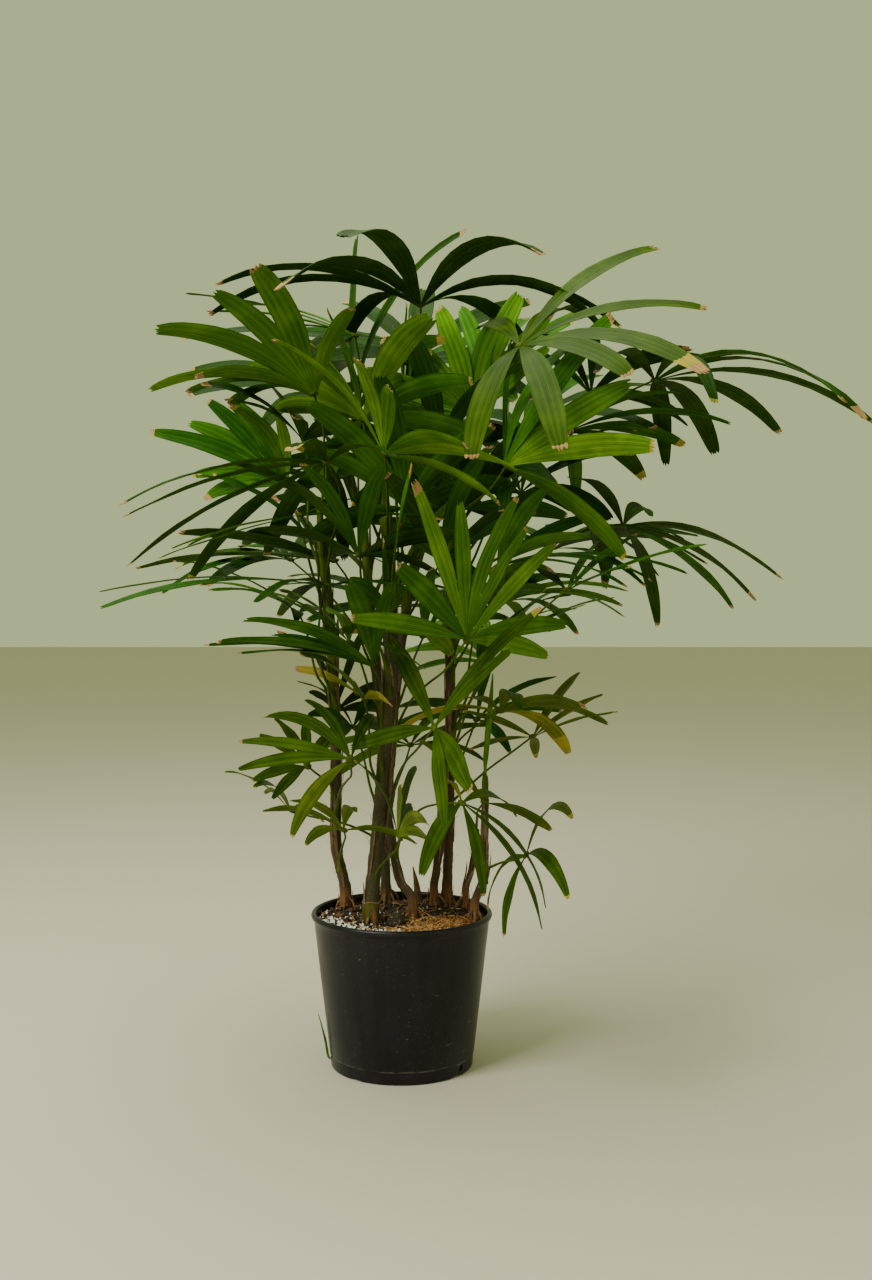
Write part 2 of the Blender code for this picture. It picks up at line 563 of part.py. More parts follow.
def make_fronds(collection, filled, paints):
    """All the petioles find their way first, and then the leaflets, frond by frond."""
    names = [f"frond_{number:02d}" for number in range(1, len(FRONDS) + 1)]
    routes = [place_petiole(name, frond, filled) for name, frond in zip(names, FRONDS)]
    for number, (name, frond, route) in enumerate(zip(names, FRONDS, routes)):
        chosen = place_leaflets(name, frond, filled)
        make_frond(name, frond, route, chosen, collection, paints[number % len(paints)])


def main():
    for thing in list(bpy.data.objects):
        bpy.data.objects.remove(thing)
    palm = bpy.data.collections.new("lady_palm")
    cutters = bpy.data.collections.new("cutters")
    bpy.context.scene.collection.children.link(palm)
    bpy.context.scene.collection.children.link(cutters)

    make_pot(palm, cutters, material("pot_plastic", (0.012, 0.012, 0.013, 1.0), 0.42))
    make_soil(palm, material("potting_mix", (0.060, 0.038, 0.022, 1.0), 0.95))

    filled = Filled()
    guard = [POT_RIM_RADIUS + CLEARANCE] * 2
    filled.add("pot", *sweep([UP * 0.0, UP * (POT_HEIGHT + CLEARANCE)], guard, POT_STEPS))
    sheath = material("cane_sheath", (0.105, 0.066, 0.034, 1.0), 0.85)
    greens = [material(f"frond_green_{number}", tint, 0.45) for number, tint in enumerate(FROND_GREENS)]
    make_canes(palm, filled, sheath)
    make_shoots(palm, filled, sheath, greens[-1])
    make_fronds(palm, filled, greens)


main()
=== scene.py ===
"""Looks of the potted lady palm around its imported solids, in metres, +Z up.

The fronds grow here by the same rule as the solids: the same canes, petioles and leaflets, in the
same order, so every fine leaflet lies along the middle of its coarse one. A leaflet, a petiole, a
strip of sheath and a crumb are each modelled once, and copied and bent to their places.
"""

import random
from collections import namedtuple
from math import atan2, cos, floor, hypot, pi, radians, sin

import bmesh
import bpy
import numpy as np
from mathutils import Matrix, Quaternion, Vector, noise
from mathutils.bvhtree import BVHTree


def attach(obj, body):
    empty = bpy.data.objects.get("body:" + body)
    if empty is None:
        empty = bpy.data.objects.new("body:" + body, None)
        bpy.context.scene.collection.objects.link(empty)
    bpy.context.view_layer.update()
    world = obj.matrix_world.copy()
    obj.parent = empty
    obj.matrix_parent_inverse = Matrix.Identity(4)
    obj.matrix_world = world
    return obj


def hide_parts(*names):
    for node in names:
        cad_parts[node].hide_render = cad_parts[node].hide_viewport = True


# The pot: a blow-moulded 10 inch nursery pot
POT_HEIGHT = 0.240
POT_RIM_RADIUS = 0.1400
POT_MOUTH_RADIUS = 0.1318
POT_NECK_RADIUS = 0.1358
POT_BASE_RADIUS = 0.1100
POT_WALL = 0.0025
POT_FLOOR = 0.003
POT_STEPS = 36
BEAD_HEIGHT = 0.010
FOOT_BAND_HEIGHT = 0.020
FOOT_BAND_STEP = 0.001
FOOT_CHAMFER = 0.003
SCALLOP_RADIUS = 0.030
SCALLOP_HEIGHT = 0.004
SCALLOP_BEARINGS = (-129, -39, 51, 141)
DRAIN_RADIUS = 0.005
DRAIN_HEIGHT = 0.013
DRAIN_BEARINGS = (-170, -35, 85)
CUTTER_DEPTH = 0.016

# The potting mix that fills it
SOIL_TOP = 0.232
GAP = 0.0003

# Canes: the radius of each and its route. The first point gives only the place of the foot,
# because every cane is cut flat on the mix
CANE_SIDES = 8
CANE_FLARE = 1.35
CANE_FLARE_HEIGHT = 0.030
CANE_FOOT = 0.008
CANE_TIP_MARGIN = 0.01
CANE_TIP_TAPER = 0.35
CANE_SPACING = 0.085
CANES = {
    "left": (0.0078, [(-0.092, 0.072, 0), (-0.106, 0.065, 0.33), (-0.104, 0.045, 0.48),
                      (-0.108, 0.020, 0.64), (-0.126, 0.000, 0.87)]),
    "main": (0.0105, [(-0.046, -0.038, 0), (-0.040, -0.030, 0.32), (-0.023, -0.030, 0.50),
                      (-0.015, -0.030, 0.68), (-0.024, -0.030, 0.89)]),
    "curved": (0.0062, [(0.016, -0.016, 0), (-0.003, 0.000, 0.29), (-0.020, 0.015, 0.37),
                        (-0.015, 0.025, 0.51), (0.008, 0.020, 0.71), (0.047, 0.000, 0.92)]),
    "rear": (0.0064, [(-0.028, 0.106, 0), (-0.031, 0.100, 0.35), (-0.030, 0.100, 0.50),
                      (-0.048, 0.105, 0.67), (-0.066, 0.120, 0.88)]),
    "right": (0.0070, [(0.071, 0.091, 0), (0.075, 0.092, 0.40), (0.075, 0.085, 0.60),
                       (0.077, 0.066, 0.79), (0.097, 0.050, 0.94)]),
    "slim": (0.0058, [(0.050, 0.074, 0), (0.058, 0.070, 0.32), (0.066, 0.062, 0.48)]),
    "short": (0.0052, [(0.112, -0.036, 0), (0.126, -0.026, 0.30), (0.128, -0.020, 0.46)]),
    "low": (0.0040, [(0.100, 0.060, 0), (0.110, 0.080, 0.29), (0.120, 0.096, 0.35)]),
}

# Small shoots: the route and the radius at each of its points
SPIKE_ROUTE = [(0.024, 0.104, SOIL_TOP + GAP), (0.024, 0.104, 0.240), (0.021, 0.099, 0.262),
               (0.016, 0.090, 0.290)]
SPIKE_RADII = [0.0060, 0.0058, 0.0042, 0.0008]
SPEAR_ROUTE = [(0.128, -0.020, 0.4605), (0.129, -0.022, 0.480), (0.132, -0.027, 0.520),
               (0.136, -0.034, 0.570), (0.139, -0.040, 0.611)]
SPEAR_RADII = [0.0020, 0.0040, 0.0046, 0.0036, 0.0008]
SPROUT_BEARING = -170
SPROUT_ROUTE = [(0.1094, 0.0130), (0.1136, 0.0134), (0.1161, 0.0200), (0.1204, 0.0450), (0.1303, 0.0840)]
SPROUT_RADII = [0.0014, 0.0017, 0.0020, 0.0018, 0.0006]
SHOOT_SIDES = 6

# Petioles: they leave the cane steeply, and reach the hub partly along the fan's middle line
PETIOLE_RADIUS = 0.0022
PETIOLE_POINTS = 5
PETIOLE_SIDES = 4
PETIOLE_ROOM = 1.5
PETIOLE_RISE = 0.8
PETIOLE_OUT = 0.45
PETIOLE_FIRST_REACH = 0.38
PETIOLE_LAST_REACH = 0.30
PETIOLE_FAN_SHARE = 0.5
PETIOLE_SPAN_SHARE = 0.8

# Fans and their leaflets: a blade's shape is shares of its length and of its width
HUB_RADIUS = 0.009
HUB_HEIGHT = 0.005
HUB_SIDES = 8
BLADE_THICKNESS = 0.0034
BLADE_SLENDERNESS = 90
BLADE_TIP_THICKNESS = 0.75
BLADE_START = 0.006
CLEARANCE = 0.0006
EDGE_BEND = 0.3
LEAST_BEND = 0.02
STEEPEST_TIP = 0.15
OUTER_SHORTER = 0.22
ANGLE_JITTER = 0.38
LENGTH_JITTER = (0.74, 1.14)
WIDTH_JITTER = (0.78, 1.10)
BEND_JITTER = (0.80, 1.25)
LONG_BLADE = 0.19
BLADE_FOOT_WIDTH = 0.0034
BLADE_SHAPE_LONG = ((0.22, 0.52), (0.50, 1.0), (0.80, 0.84), (1.0, 0.30))
BLADE_SHAPE_SHORT = ((0.32, 0.74), (0.70, 0.94), (1.0, 0.30))

# What a leaflet tries, in turn, when something is in its way: turn in the fan's plane and lift
# out of it, both in degrees, and a factor on its length
DODGES = [(0, 0, 1.0)] + [(turn, lift, reach) for reach in (1.0, 0.8, 0.6)
                          for turn, lift in ((0, 7), (0, -7), (6, 0), (-6, 0), (8, 8), (-8, 8),
                                             (8, -8), (-8, -8), (0, 15), (0, -15), (12, 12), (-12, 12))]

# What a petiole tries: a step along the cane, and a bulge to one side
PETIOLE_TRIES = [(step, bulge) for bulge in (0, 0.03, -0.03, 0.06, -0.06)
                 for step in (0, -0.03, 0.03, -0.06, 0.06, -0.09)]

# Each frond: its cane and the height where its petiole leaves it, its hub, the heading, lift and
# roll of the fan, how far its leaflets rise out of the fan's plane, how many they are and their
# spread, then their length, width, bend and seed
Frond = namedtuple("Frond", "cane height hub heading lift roll cup leaflets spread length width bend seed")
FRONDS = [
    Frond("curved", 0.86, (0.030, -0.050, 1.160), -95, 5, 0, 30, 9, 265, 0.34, 0.048, 70, 43),
    Frond("left", 0.80, (-0.125, -0.100, 1.025), -135, -5, -25, 50, 8, 185, 0.23, 0.036, 45, 321),
    Frond("main", 0.76, (-0.020, -0.150, 0.935), -95, 15, 35, 25, 7, 155, 0.26, 0.030, 40, 10),
    Frond("right", 0.88, (0.170, -0.180, 1.085), -15, 15, -30, 10, 8, 195, 0.30, 0.039, 45, 274),
    Frond("right", 0.82, (0.110, 0.050, 1.005), 95, 65, 30, 15, 8, 135, 0.21, 0.036, 25, 26),
    Frond("curved", 0.78, (0.155, -0.120, 0.920), -125, 60, 30, 35, 8, 235, 0.28, 0.042, 45, 255),
    Frond("right", 0.92, (0.385, 0.000, 1.055), -15, 5, 10, 15, 8, 195, 0.35, 0.033, 65, 389),
    Frond("right", 0.72, (0.345, 0.050, 0.835), -15, -20, 20, 10, 7, 210, 0.31, 0.030, 45, 306),
    Frond("left", 0.74, (-0.100, -0.200, 0.920), -175, -5, -15, 0, 8, 210, 0.33, 0.030, 30, 51),
    Frond("left", 0.70, (-0.185, 0.100, 0.900), 125, 30, 45, 45, 8, 120, 0.22, 0.030, 65, 462),
    Frond("left", 0.66, (-0.150, -0.050, 0.850), -175, -10, 5, 5, 5, 265, 0.29, 0.024, 10, 67),
    Frond("rear", 0.60, (-0.105, 0.060, 0.780), 160, -20, 0, 30, 6, 125, 0.34, 0.039, 20, 33),
    Frond("left", 0.56, (-0.110, -0.080, 0.745), -120, 0, 0, 10, 6, 250, 0.38, 0.027, 30, 1090),
    Frond("main", 0.46, (-0.040, -0.100, 0.630), -130, -20, -15, 45, 7, 170, 0.27, 0.030, 30, 35),
    Frond("main", 0.58, (-0.015, -0.120, 0.705), -15, 80, -10, 5, 6, 115, 0.21, 0.030, 55, 250),
    Frond("curved", 0.50, (0.095, -0.250, 0.675), 5, 75, 45, 5, 9, 175, 0.25, 0.030, 30, 1342),
    Frond("right", 0.62, (0.150, -0.050, 0.780), -20, -35, 5, 50, 6, 160, 0.26, 0.027, 40, 1101),
    Frond("right", 0.54, (0.135, 0.100, 0.705), -5, -10, 15, 40, 7, 135, 0.25, 0.026, 65, 88),
    Frond("right", 0.50, (0.245, -0.100, 0.740), 30, 10, 0, 20, 5, 155, 0.23, 0.021, 15, 47),
    Frond("right", 0.66, (0.300, 0.120, 0.830), 10, -15, 5, 10, 5, 130, 0.23, 0.021, 45, 1090),
    Frond("rear", 0.84, (-0.075, 0.100, 1.135), 155, 25, 5, 0, 8, 175, 0.30, 0.030, 20, 778),
    Frond("rear", 0.78, (-0.080, 0.160, 1.005), -150, 65, 5, 20, 6, 140, 0.38, 0.027, 90, 85),
    Frond("rear", 0.72, (0.005, 0.140, 1.035), -165, 60, 10, 30, 6, 115, 0.17, 0.036, 55, 1121),
    Frond("right", 0.86, (0.300, 0.120, 1.045), -65, 25, 20, 10, 7, 125, 0.22, 0.024, 50, 45),
    Frond("right", 0.76, (0.265, 0.100, 0.985), 10, 20, 25, 0, 6, 140, 0.23, 0.030, 40, 760),
    Frond("curved", 0.40, (0.050, -0.220, 0.550), -5, 55, -35, 10, 6, 250, 0.22, 0.033, 20, 75),
    Frond("slim", 0.44, (0.150, -0.050, 0.555), -70, 20, 10, 15, 6, 205, 0.20, 0.028, 55, 34),
    Frond("slim", 0.38, (0.205, 0.050, 0.505), -55, 30, 5, 15, 6, 255, 0.17, 0.019, 20, 1098),
    Frond("curved", 0.33, (0.090, -0.200, 0.440), 0, -30, -20, 0, 6, 210, 0.21, 0.022, 55, 85),
    Frond("low", 0.33, (0.125, -0.100, 0.425), -60, 20, 30, 20, 5, 135, 0.17, 0.026, 40, 1065),
    Frond("short", 0.30, (0.185, -0.120, 0.350), -10, 50, -15, 10, 4, 210, 0.22, 0.022, 95, 66),
    Frond("main", 0.30, (0.000, -0.140, 0.380), -165, 50, 10, 35, 6, 155, 0.19, 0.021, 75, 46),
    Frond("left", 0.38, (-0.070, -0.180, 0.500), -160, 60, -95, 35, 7, 185, 0.17, 0.021, 60, 1125),
    Frond("left", 0.42, (-0.145, 0.000, 0.465), 165, 40, 30, 10, 6, 170, 0.11, 0.021, 30, 83),
    Frond("left", 0.30, (-0.085, -0.080, 0.380), -125, 40, -5, 15, 5, 160, 0.14, 0.021, 60, 1091),
    Frond("rear", 0.32, (-0.175, 0.060, 0.385), -155, 30, 0, 25, 4, 155, 0.17, 0.019, 50, 1106),
    Frond("main", 0.80, (-0.055, -0.060, 0.990), -105, 50, 15, 15, 8, 240, 0.23, 0.038, 50, 1026),
    Frond("left", 0.50, (-0.105, 0.090, 0.540), 110, 60, -40, 20, 6, 155, 0.16, 0.018, 65, 298),
    Frond("main", 0.44, (-0.055, -0.060, 0.575), -175, 45, -10, 10, 5, 175, 0.22, 0.027, 40, 1503),
    Frond("rear", 0.80, (-0.140, 0.260, 1.060), 120, 30, 5, 15, 8, 215, 0.25, 0.036, 45, 41),
    Frond("rear", 0.76, (0.020, 0.280, 1.120), 80, 35, -5, 15, 9, 215, 0.27, 0.042, 40, 42),
    Frond("right", 0.84, (0.200, 0.260, 1.000), 55, 30, 5, 15, 8, 205, 0.28, 0.036, 45, 1057),
    Frond("right", 0.70, (0.250, 0.220, 0.800), 45, 10, -10, 15, 7, 190, 0.26, 0.030, 40, 44),
    Frond("rear", 0.62, (-0.190, 0.230, 0.780), 140, 15, 5, 15, 7, 200, 0.27, 0.030, 45, 1066),
    Frond("rear", 0.54, (-0.020, 0.270, 0.700), 90, 20, 0, 15, 7, 200, 0.26, 0.030, 40, 1060),
    Frond("right", 0.46, (0.140, 0.240, 0.610), 70, 20, 20, 25, 7, 175, 0.24, 0.027, 35, 1068),
    Frond("rear", 0.36, (0.010, 0.220, 0.470), 95, 25, 5, 15, 6, 185, 0.19, 0.024, 45, 1062),
]

UP = Vector((0.0, 0.0, 1.0))


def wall_radius(height):
    """The pot's inner radius at a height."""
    top = POT_HEIGHT - BEAD_HEIGHT / 2
    base = POT_BASE_RADIUS - POT_WALL
    return base + (POT_MOUTH_RADIUS - base) * height / top


def smooth_route(knots, spacing):
    """Points about a spacing apart on a smooth curve through the knots."""
    ends = [knots[0] * 2 - knots[1], *knots, knots[-1] * 2 - knots[-2]]
    route = [knots[0]]
    for before, start, end, after in zip(ends, ends[1:], ends[2:], ends[3:]):
        steps = max(1, round((end - start).length / spacing))
        for step in range(1, steps + 1):
            t = step / steps
            route.append(0.5 * (2 * start + (end - before) * t
                                + (2 * before - 5 * start + 4 * end - after) * t * t
                                + (3 * start - before - 3 * end + after) * t * t * t))
    return route


def cane_route(name):
    """A cane's route and the radius at each point, from its flat cut up."""
    radius, knots = CANES[name]
    foot = Vector((knots[0][0], knots[0][1], SOIL_TOP + GAP))
    collar = foot + UP * CANE_FLARE_HEIGHT
    rest = smooth_route([collar] + [Vector(knot) for knot in knots[1:]], CANE_SPACING)
    route = [foot, foot + UP * CANE_FOOT, *rest]
    radii = [radius * CANE_FLARE, radius * CANE_FLARE] + [radius] * len(rest)
    radii[-1] = radius * CANE_TIP_TAPER
    return route, radii


def point_on(name, height):
    """The middle and the radius of a cane at a height."""
    route, radii = cane_route(name)
    height = min(height, route[-1].z - CANE_TIP_MARGIN)
    for low, high in zip(range(len(route) - 1), range(1, len(route))):
        if route[low].z <= height <= route[high].z:
            share = (height - route[low].z) / (route[high].z - route[low].z)
            return route[low].lerp(route[high], share), max(radii[low], radii[high])
    return route[-1], radii[-1]


def sweep(points, radii, sides):
    """Rough points and faces of a bar, a little fatter than it, for the tests of clearance."""
    verts, faces = [], []
    for i, (point, radius) in enumerate(zip(points, radii)):
        ahead = points[min(i + 1, len(points) - 1)] - points[max(i - 1, 0)]
        ahead.normalize()
        across = ahead.cross(UP if abs(ahead.z) < 0.9 else Vector((1.0, 0.0, 0.0))).normalized()
        other = ahead.cross(across)
        fat = radius / cos(pi / sides)
        for side in range(sides):
            turn = 2 * pi * side / sides
            verts.append(point + fat * (cos(turn) * across + sin(turn) * other))
    for ring in range(len(points) - 1):
        for side in range(sides):
            first, second = ring * sides + side, ring * sides + (side + 1) % sides
            faces.append((first, second, second + sides, first + sides))
    faces.append(tuple(range(sides)))
    faces.append(tuple(range(len(verts) - sides, len(verts))))
    return verts, faces


def box_of(verts):
    """The lowest and the highest coordinates of some points."""
    return [[end(vert[axis] for vert in verts) for axis in range(3)] for end in (min, max)]


class Filled:
    """The room that is taken so far."""

    def __init__(self):
        self.solids = []

    def add(self, owner, verts, faces):
        """Take the room of one more solid."""
        tree = BVHTree.FromPolygons(verts, faces)
        low, high = box_of(verts)
        self.solids.append((owner, low, high, tree))

    def clear(self, owner, verts, faces):
        """True where a solid would touch none of those before it, its owner's apart."""
        low, high = box_of(verts)
        tree = None
        for other_owner, other_low, other_high, other in self.solids:
            apart = any(low[axis] > other_high[axis] or high[axis] < other_low[axis] for axis in range(3))
            if other_owner == owner or apart:
                continue
            tree = tree or BVHTree.FromPolygons(verts, faces)
            if tree.overlap(other):
                return False
        return True


def fan_axes(frond):
    """The fan's middle direction, its side and its upper face."""
    heading, lift, roll = radians(frond.heading), radians(frond.lift), radians(frond.roll)
    along = Vector((cos(heading) * cos(lift), sin(heading) * cos(lift), sin(lift)))
    side = Vector((sin(heading), -cos(heading), 0.0))
    top = side.cross(along)
    return along, cos(roll) * side + sin(roll) * top, cos(roll) * top - sin(roll) * side


def leaflets(frond):
    """Angle in the fan, length, width and bend of each leaflet of a frond."""
    rule = random.Random(frond.seed)
    for number in range(frond.leaflets):
        place = number / (frond.leaflets - 1) - 0.5
        step = frond.spread / (frond.leaflets - 1)
        angle = frond.spread * place + rule.uniform(-ANGLE_JITTER, ANGLE_JITTER) * step
        length = frond.length * (1 - OUTER_SHORTER * (2 * place) ** 2) * rule.uniform(*LENGTH_JITTER)
        width = frond.width * rule.uniform(*WIDTH_JITTER)
        bend = frond.bend * rule.uniform(*BEND_JITTER)
        yield angle, length, width, bend


def leaf_arc(frond, angle, lift, length, bend):
    """A leaflet's middle line as an arc that sinks towards its tip."""
    along, side, top = fan_axes(frond)
    outward = cos(radians(angle)) * along + sin(radians(angle)) * side
    start = cos(radians(lift)) * outward + sin(radians(lift)) * top
    across = start.cross(top).normalized()
    level = Vector((start.x, start.y, 0.0)).normalized()
    hinge = level.cross(UP)
    rise = atan2(start.z, hypot(start.x, start.y))
    flatness = EDGE_BEND + (1 - EDGE_BEND) * abs(across.dot(hinge))
    turn = max(LEAST_BEND, min(radians(bend) * flatness, rise + pi / 2 - STEEPEST_TIP))
    foot = Vector(frond.hub) + BLADE_START * outward

    def at(share):
        """Place, direction and width direction at a share of the length."""
        sunk = turn * share
        out = length * (sin(rise) - sin(rise - sunk)) / turn
        high = length * (cos(rise - sunk) - cos(rise)) / turn
        lean = Quaternion(hinge, -sunk)
        return foot + out * level + high * UP, lean @ start, lean @ across

    return at


def blade(at, length, width, extra):
    """A loft of three-sided sections along a leaflet: two edges and a raised rib."""
    verts, faces = [], []
    shape = BLADE_SHAPE_LONG if length > LONG_BLADE else BLADE_SHAPE_SHORT
    shape = ((0.0, BLADE_FOOT_WIDTH / width), *shape)
    foot = at(0)
    upright = 1 if foot[2].cross(foot[1]).z > 0 else -1
    for share, fullness in shape:
        point, ahead, across = at(share)
        face = upright * across.cross(ahead)
        half = width * fullness / 2 + extra
        tall = max(BLADE_THICKNESS, length / BLADE_SLENDERNESS)
        tall = tall * (BLADE_TIP_THICKNESS if share == 1 else 1.0) + 2 * extra
        verts += [point - half * across - tall / 3 * face, point + half * across - tall / 3 * face,
                  point + tall * 2 / 3 * face]
    for ring in range(len(shape) - 1):
        a = 3 * ring
        faces += [(a, a + 1, a + 4, a + 3), (a + 1, a + 2, a + 5, a + 4), (a + 2, a, a + 3, a + 5)]
    faces += [(0, 2, 1), tuple(len(verts) - 3 + i for i in range(3))]
    return verts, faces


def petiole_route(frond, step, bulge):
    """A petiole's points, from just off its cane to the hub."""
    foot, cane_radius = point_on(frond.cane, frond.height + step)
    hub = Vector(frond.hub)
    away = Vector((hub.x - foot.x, hub.y - foot.y, 0.0)).normalized()
    sideways = away.cross(UP)
    start = foot + away * (cane_radius / cos(pi / CANE_SIDES) + PETIOLE_ROOM * PETIOLE_RADIUS + GAP)
    span = (hub - start).length
    arrive = (fan_axes(frond)[0] * PETIOLE_FAN_SHARE
              + (hub - start).normalized() * PETIOLE_SPAN_SHARE).normalized()
    leave = (UP * PETIOLE_RISE + away * PETIOLE_OUT).normalized()
    first = start + leave * span * PETIOLE_FIRST_REACH + sideways * bulge
    last = hub - arrive * span * PETIOLE_LAST_REACH + sideways * bulge
    route = []
    for number in range(PETIOLE_POINTS):
        t = number / (PETIOLE_POINTS - 1)
        route.append((1 - t) ** 3 * start + 3 * (1 - t) ** 2 * t * first
                     + 3 * (1 - t) * t * t * last + t ** 3 * hub)
    return route


def place_petiole(name, frond, filled):
    """The first route tried for a petiole that passes the canes and the petioles before it."""
    top = fan_axes(frond)[2]
    hub = Vector(frond.hub)
    disc = sweep([hub - top * HUB_HEIGHT / 2, hub + top * HUB_HEIGHT / 2],
                 [HUB_RADIUS + CLEARANCE] * 2, HUB_SIDES)
    for step, bulge in PETIOLE_TRIES:
        route = petiole_route(frond, step, bulge)
        fat = [PETIOLE_RADIUS + CLEARANCE] * PETIOLE_POINTS
        if filled.clear(name, *sweep(route, fat, PETIOLE_SIDES)) and filled.clear(name, *disc):
            break
    filled.add(name, *sweep(route, [PETIOLE_RADIUS] * PETIOLE_POINTS, PETIOLE_SIDES))
    filled.add(name, *disc)
    return route


def place_leaflets(name, frond, filled):
    """The leaflets of a frond that fit, each bent aside or shortened where something is near."""
    chosen = []
    for angle, length, width, bend in leaflets(frond):
        for turn, lift, reach in DODGES:
            at = leaf_arc(frond, angle + turn, frond.cup + lift, length * reach, bend)
            if filled.clear(name, *blade(at, length * reach, width, CLEARANCE)):
                chosen.append((at, length * reach, width))
                break
    for at, length, width in chosen:
        filled.add(name, *blade(at, length, width, 0.0))
    return chosen


# Leaflets of the fine foliage: the shares of the length where the rows lie, and the width there
BLADE_ROWS = ((0.0, 0.12), (0.04, 0.22), (0.10, 0.36), (0.18, 0.56), (0.28, 0.78), (0.38, 0.93),
              (0.48, 1.0), (0.58, 0.99), (0.68, 0.93), (0.77, 0.83), (0.85, 0.71), (0.920, 0.57),
              (0.964, 0.45), (0.985, 0.38))
RIB_RISE = 0.026
LEAF_THICKNESS = 0.0006
BROAD_LEAF = 0.033
NARROW_LEAF = 0.023
# For each kind: its ribs, how much wider its end is than the rows above say, and the cut of its tip
LEAF_CUTS = {
    "broad": (4, 1.25, (0.000, 0.010, -0.012, 0.016, -0.004, 0.012, -0.016, 0.006, -0.006)),
    "middle": (3, 1.00, (-0.008, 0.012, -0.014, 0.015, -0.012, 0.006, -0.004)),
    "narrow": (2, 0.80, (-0.012, 0.008, -0.010, 0.014, -0.006)),
}
END_STARTS = 0.6
TIP_JITTER = 0.010
TIP_ZONE = 0.012
GUTTER = (0.04, 0.22)
TWIST = 18
SICKLE = 0.035
RIPPLE = 0.0010
RIPPLE_ALONG = 14
RIPPLE_ACROSS = 3
LONGEST_OFFSET = 40.0
UV_PER_METRE = 10
LEAF_SHEEN = 0.07
LEAF_GLINT = (0.75, 0.95, 0.40, 1.0)
TAN_TIP_SHARE = 0.62
YELLOW_BAND_SHARE = 0.12

# Tints of the fronds, upper and under side, from dark to light. The four tints of the ladder are darker and
# lighter copies of one green: the darkest is partly painted shade, for fronds in the shaded heart of the
# crown, and partly a darker green; the two lightest are partly painted light, for fronds out in the light,
# and partly the paler green of young leaves
# Each under side is paler than its upper side: partly the leaf's own paler green, partly painted light
# shining through the leaf
LEAF_TINTS = {
    "deep": ((0.0095, 0.050, 0.0005), (0.026, 0.078, 0.0015)),
    "forest": ((0.0150, 0.096, 0.0008), (0.036, 0.135, 0.0030)),
    "grass": ((0.0380, 0.165, 0.0012), (0.072, 0.205, 0.0060)),
    "fresh": ((0.0850, 0.255, 0.0025), (0.125, 0.290, 0.0100)),
    "moss": ((0.0360, 0.090, 0.0015), (0.085, 0.140, 0.0080)),
    "olive": ((0.1500, 0.200, 0.0030), (0.190, 0.225, 0.0100)),
}
TINT_LADDER = ("deep", "forest", "grass", "fresh")


class Socket:
    """A shader socket that can be written in sums."""

    def __init__(self, finish, socket):
        self.finish = finish
        self.socket = socket

    def maths(self, operation, first, second):
        """A maths node on two values."""
        return self.finish.add("ShaderNodeMath", {"operation": operation}, {0: first, 1: second})

    def __add__(self, other):
        return self.maths("ADD", self, other)

    def __sub__(self, other):
        return self.maths("SUBTRACT", self, other)

    def __mul__(self, other):
        return self.maths("MULTIPLY", self, other)


class Finish:
    """A Principled material and the nodes behind it."""

    def __init__(self, name, **constants):
        self.material = bpy.data.materials.new(name)
        self.material.use_nodes = True
        self.tree = self.material.node_tree
        self.shader = self.tree.nodes["Principled BSDF"]
        for socket, value in constants.items():
            self.shader.inputs[socket.replace("_", " ")].default_value = value

    def add(self, kind, settings=None, inputs=None, out=0):
        """A node of a kind, with its settings first and then the values or links of its sockets."""
        node = self.tree.nodes.new(kind)
        for key, value in (settings or {}).items():
            if key == "stops":
                for _ in range(len(value) - 2):
                    node.color_ramp.elements.new(0.5)
                for element, (place, colour) in zip(node.color_ramp.elements, value):
                    element.position = place
                    element.color = (*colour, 1.0)
            else:
                setattr(node, key, value)
        for key, value in (inputs or {}).items():
            self.feed(node.inputs[key], value)
        return Socket(self, node.outputs[out])

    def feed(self, socket, value):
        """Link a socket, or set it."""
        if isinstance(value, Socket):
            self.tree.links.new(value.socket, socket)
        else:
            socket.default_value = value

    def mix(self, share, first, second):
        """Two colours mixed by a share."""
        first, second = [(*c, 1.0) if isinstance(c, tuple) and len(c) == 3 else c for c in (first, second)]
        return self.add("ShaderNodeMix", {"data_type": "RGBA"}, {0: share, 6: first, 7: second}, out=2)

    def span(self, value, low, high, start=0.0, end=1.0):
        """A value carried from one range to another, held at both ends."""
        return self.add("ShaderNodeMapRange", {}, {0: value, 1: low, 2: high, 3: start, 4: end})

    def noise(self, place, scale, detail=2.0, roughness=0.5):
        """Noise between 0 and 1."""
        return self.add("ShaderNodeTexNoise", {}, {"Vector": place, "Scale": scale, "Detail": detail,
                                                   "Roughness": roughness})

    def place(self, stretch=(1.0, 1.0, 1.0), channel="Object"):
        """Coordinates on the piece, stretched by a factor on each axis."""
        at = self.add("ShaderNodeTexCoord", out={"UV": 2, "Object": 3}[channel])
        return self.add("ShaderNodeMapping", {}, {"Vector": at, "Scale": stretch})

    def axis(self, place, name):
        """One coordinate of a place."""
        return self.add("ShaderNodeSeparateXYZ", {}, {0: place}, out="XYZ".index(name))

    def set(self, **sockets):
        """Feed the shader's sockets."""
        for name, value in sockets.items():
            self.feed(self.shader.inputs[name.replace("_", " ")], value)
        return self

    def bump(self, height, distance, strength=1.0):
        """Small relief."""
        relief = self.add("ShaderNodeBump", {}, {"Height": height, "Distance": distance,
                                                 "Strength": strength})
        self.feed(self.shader.inputs["Normal"], relief)
        return self


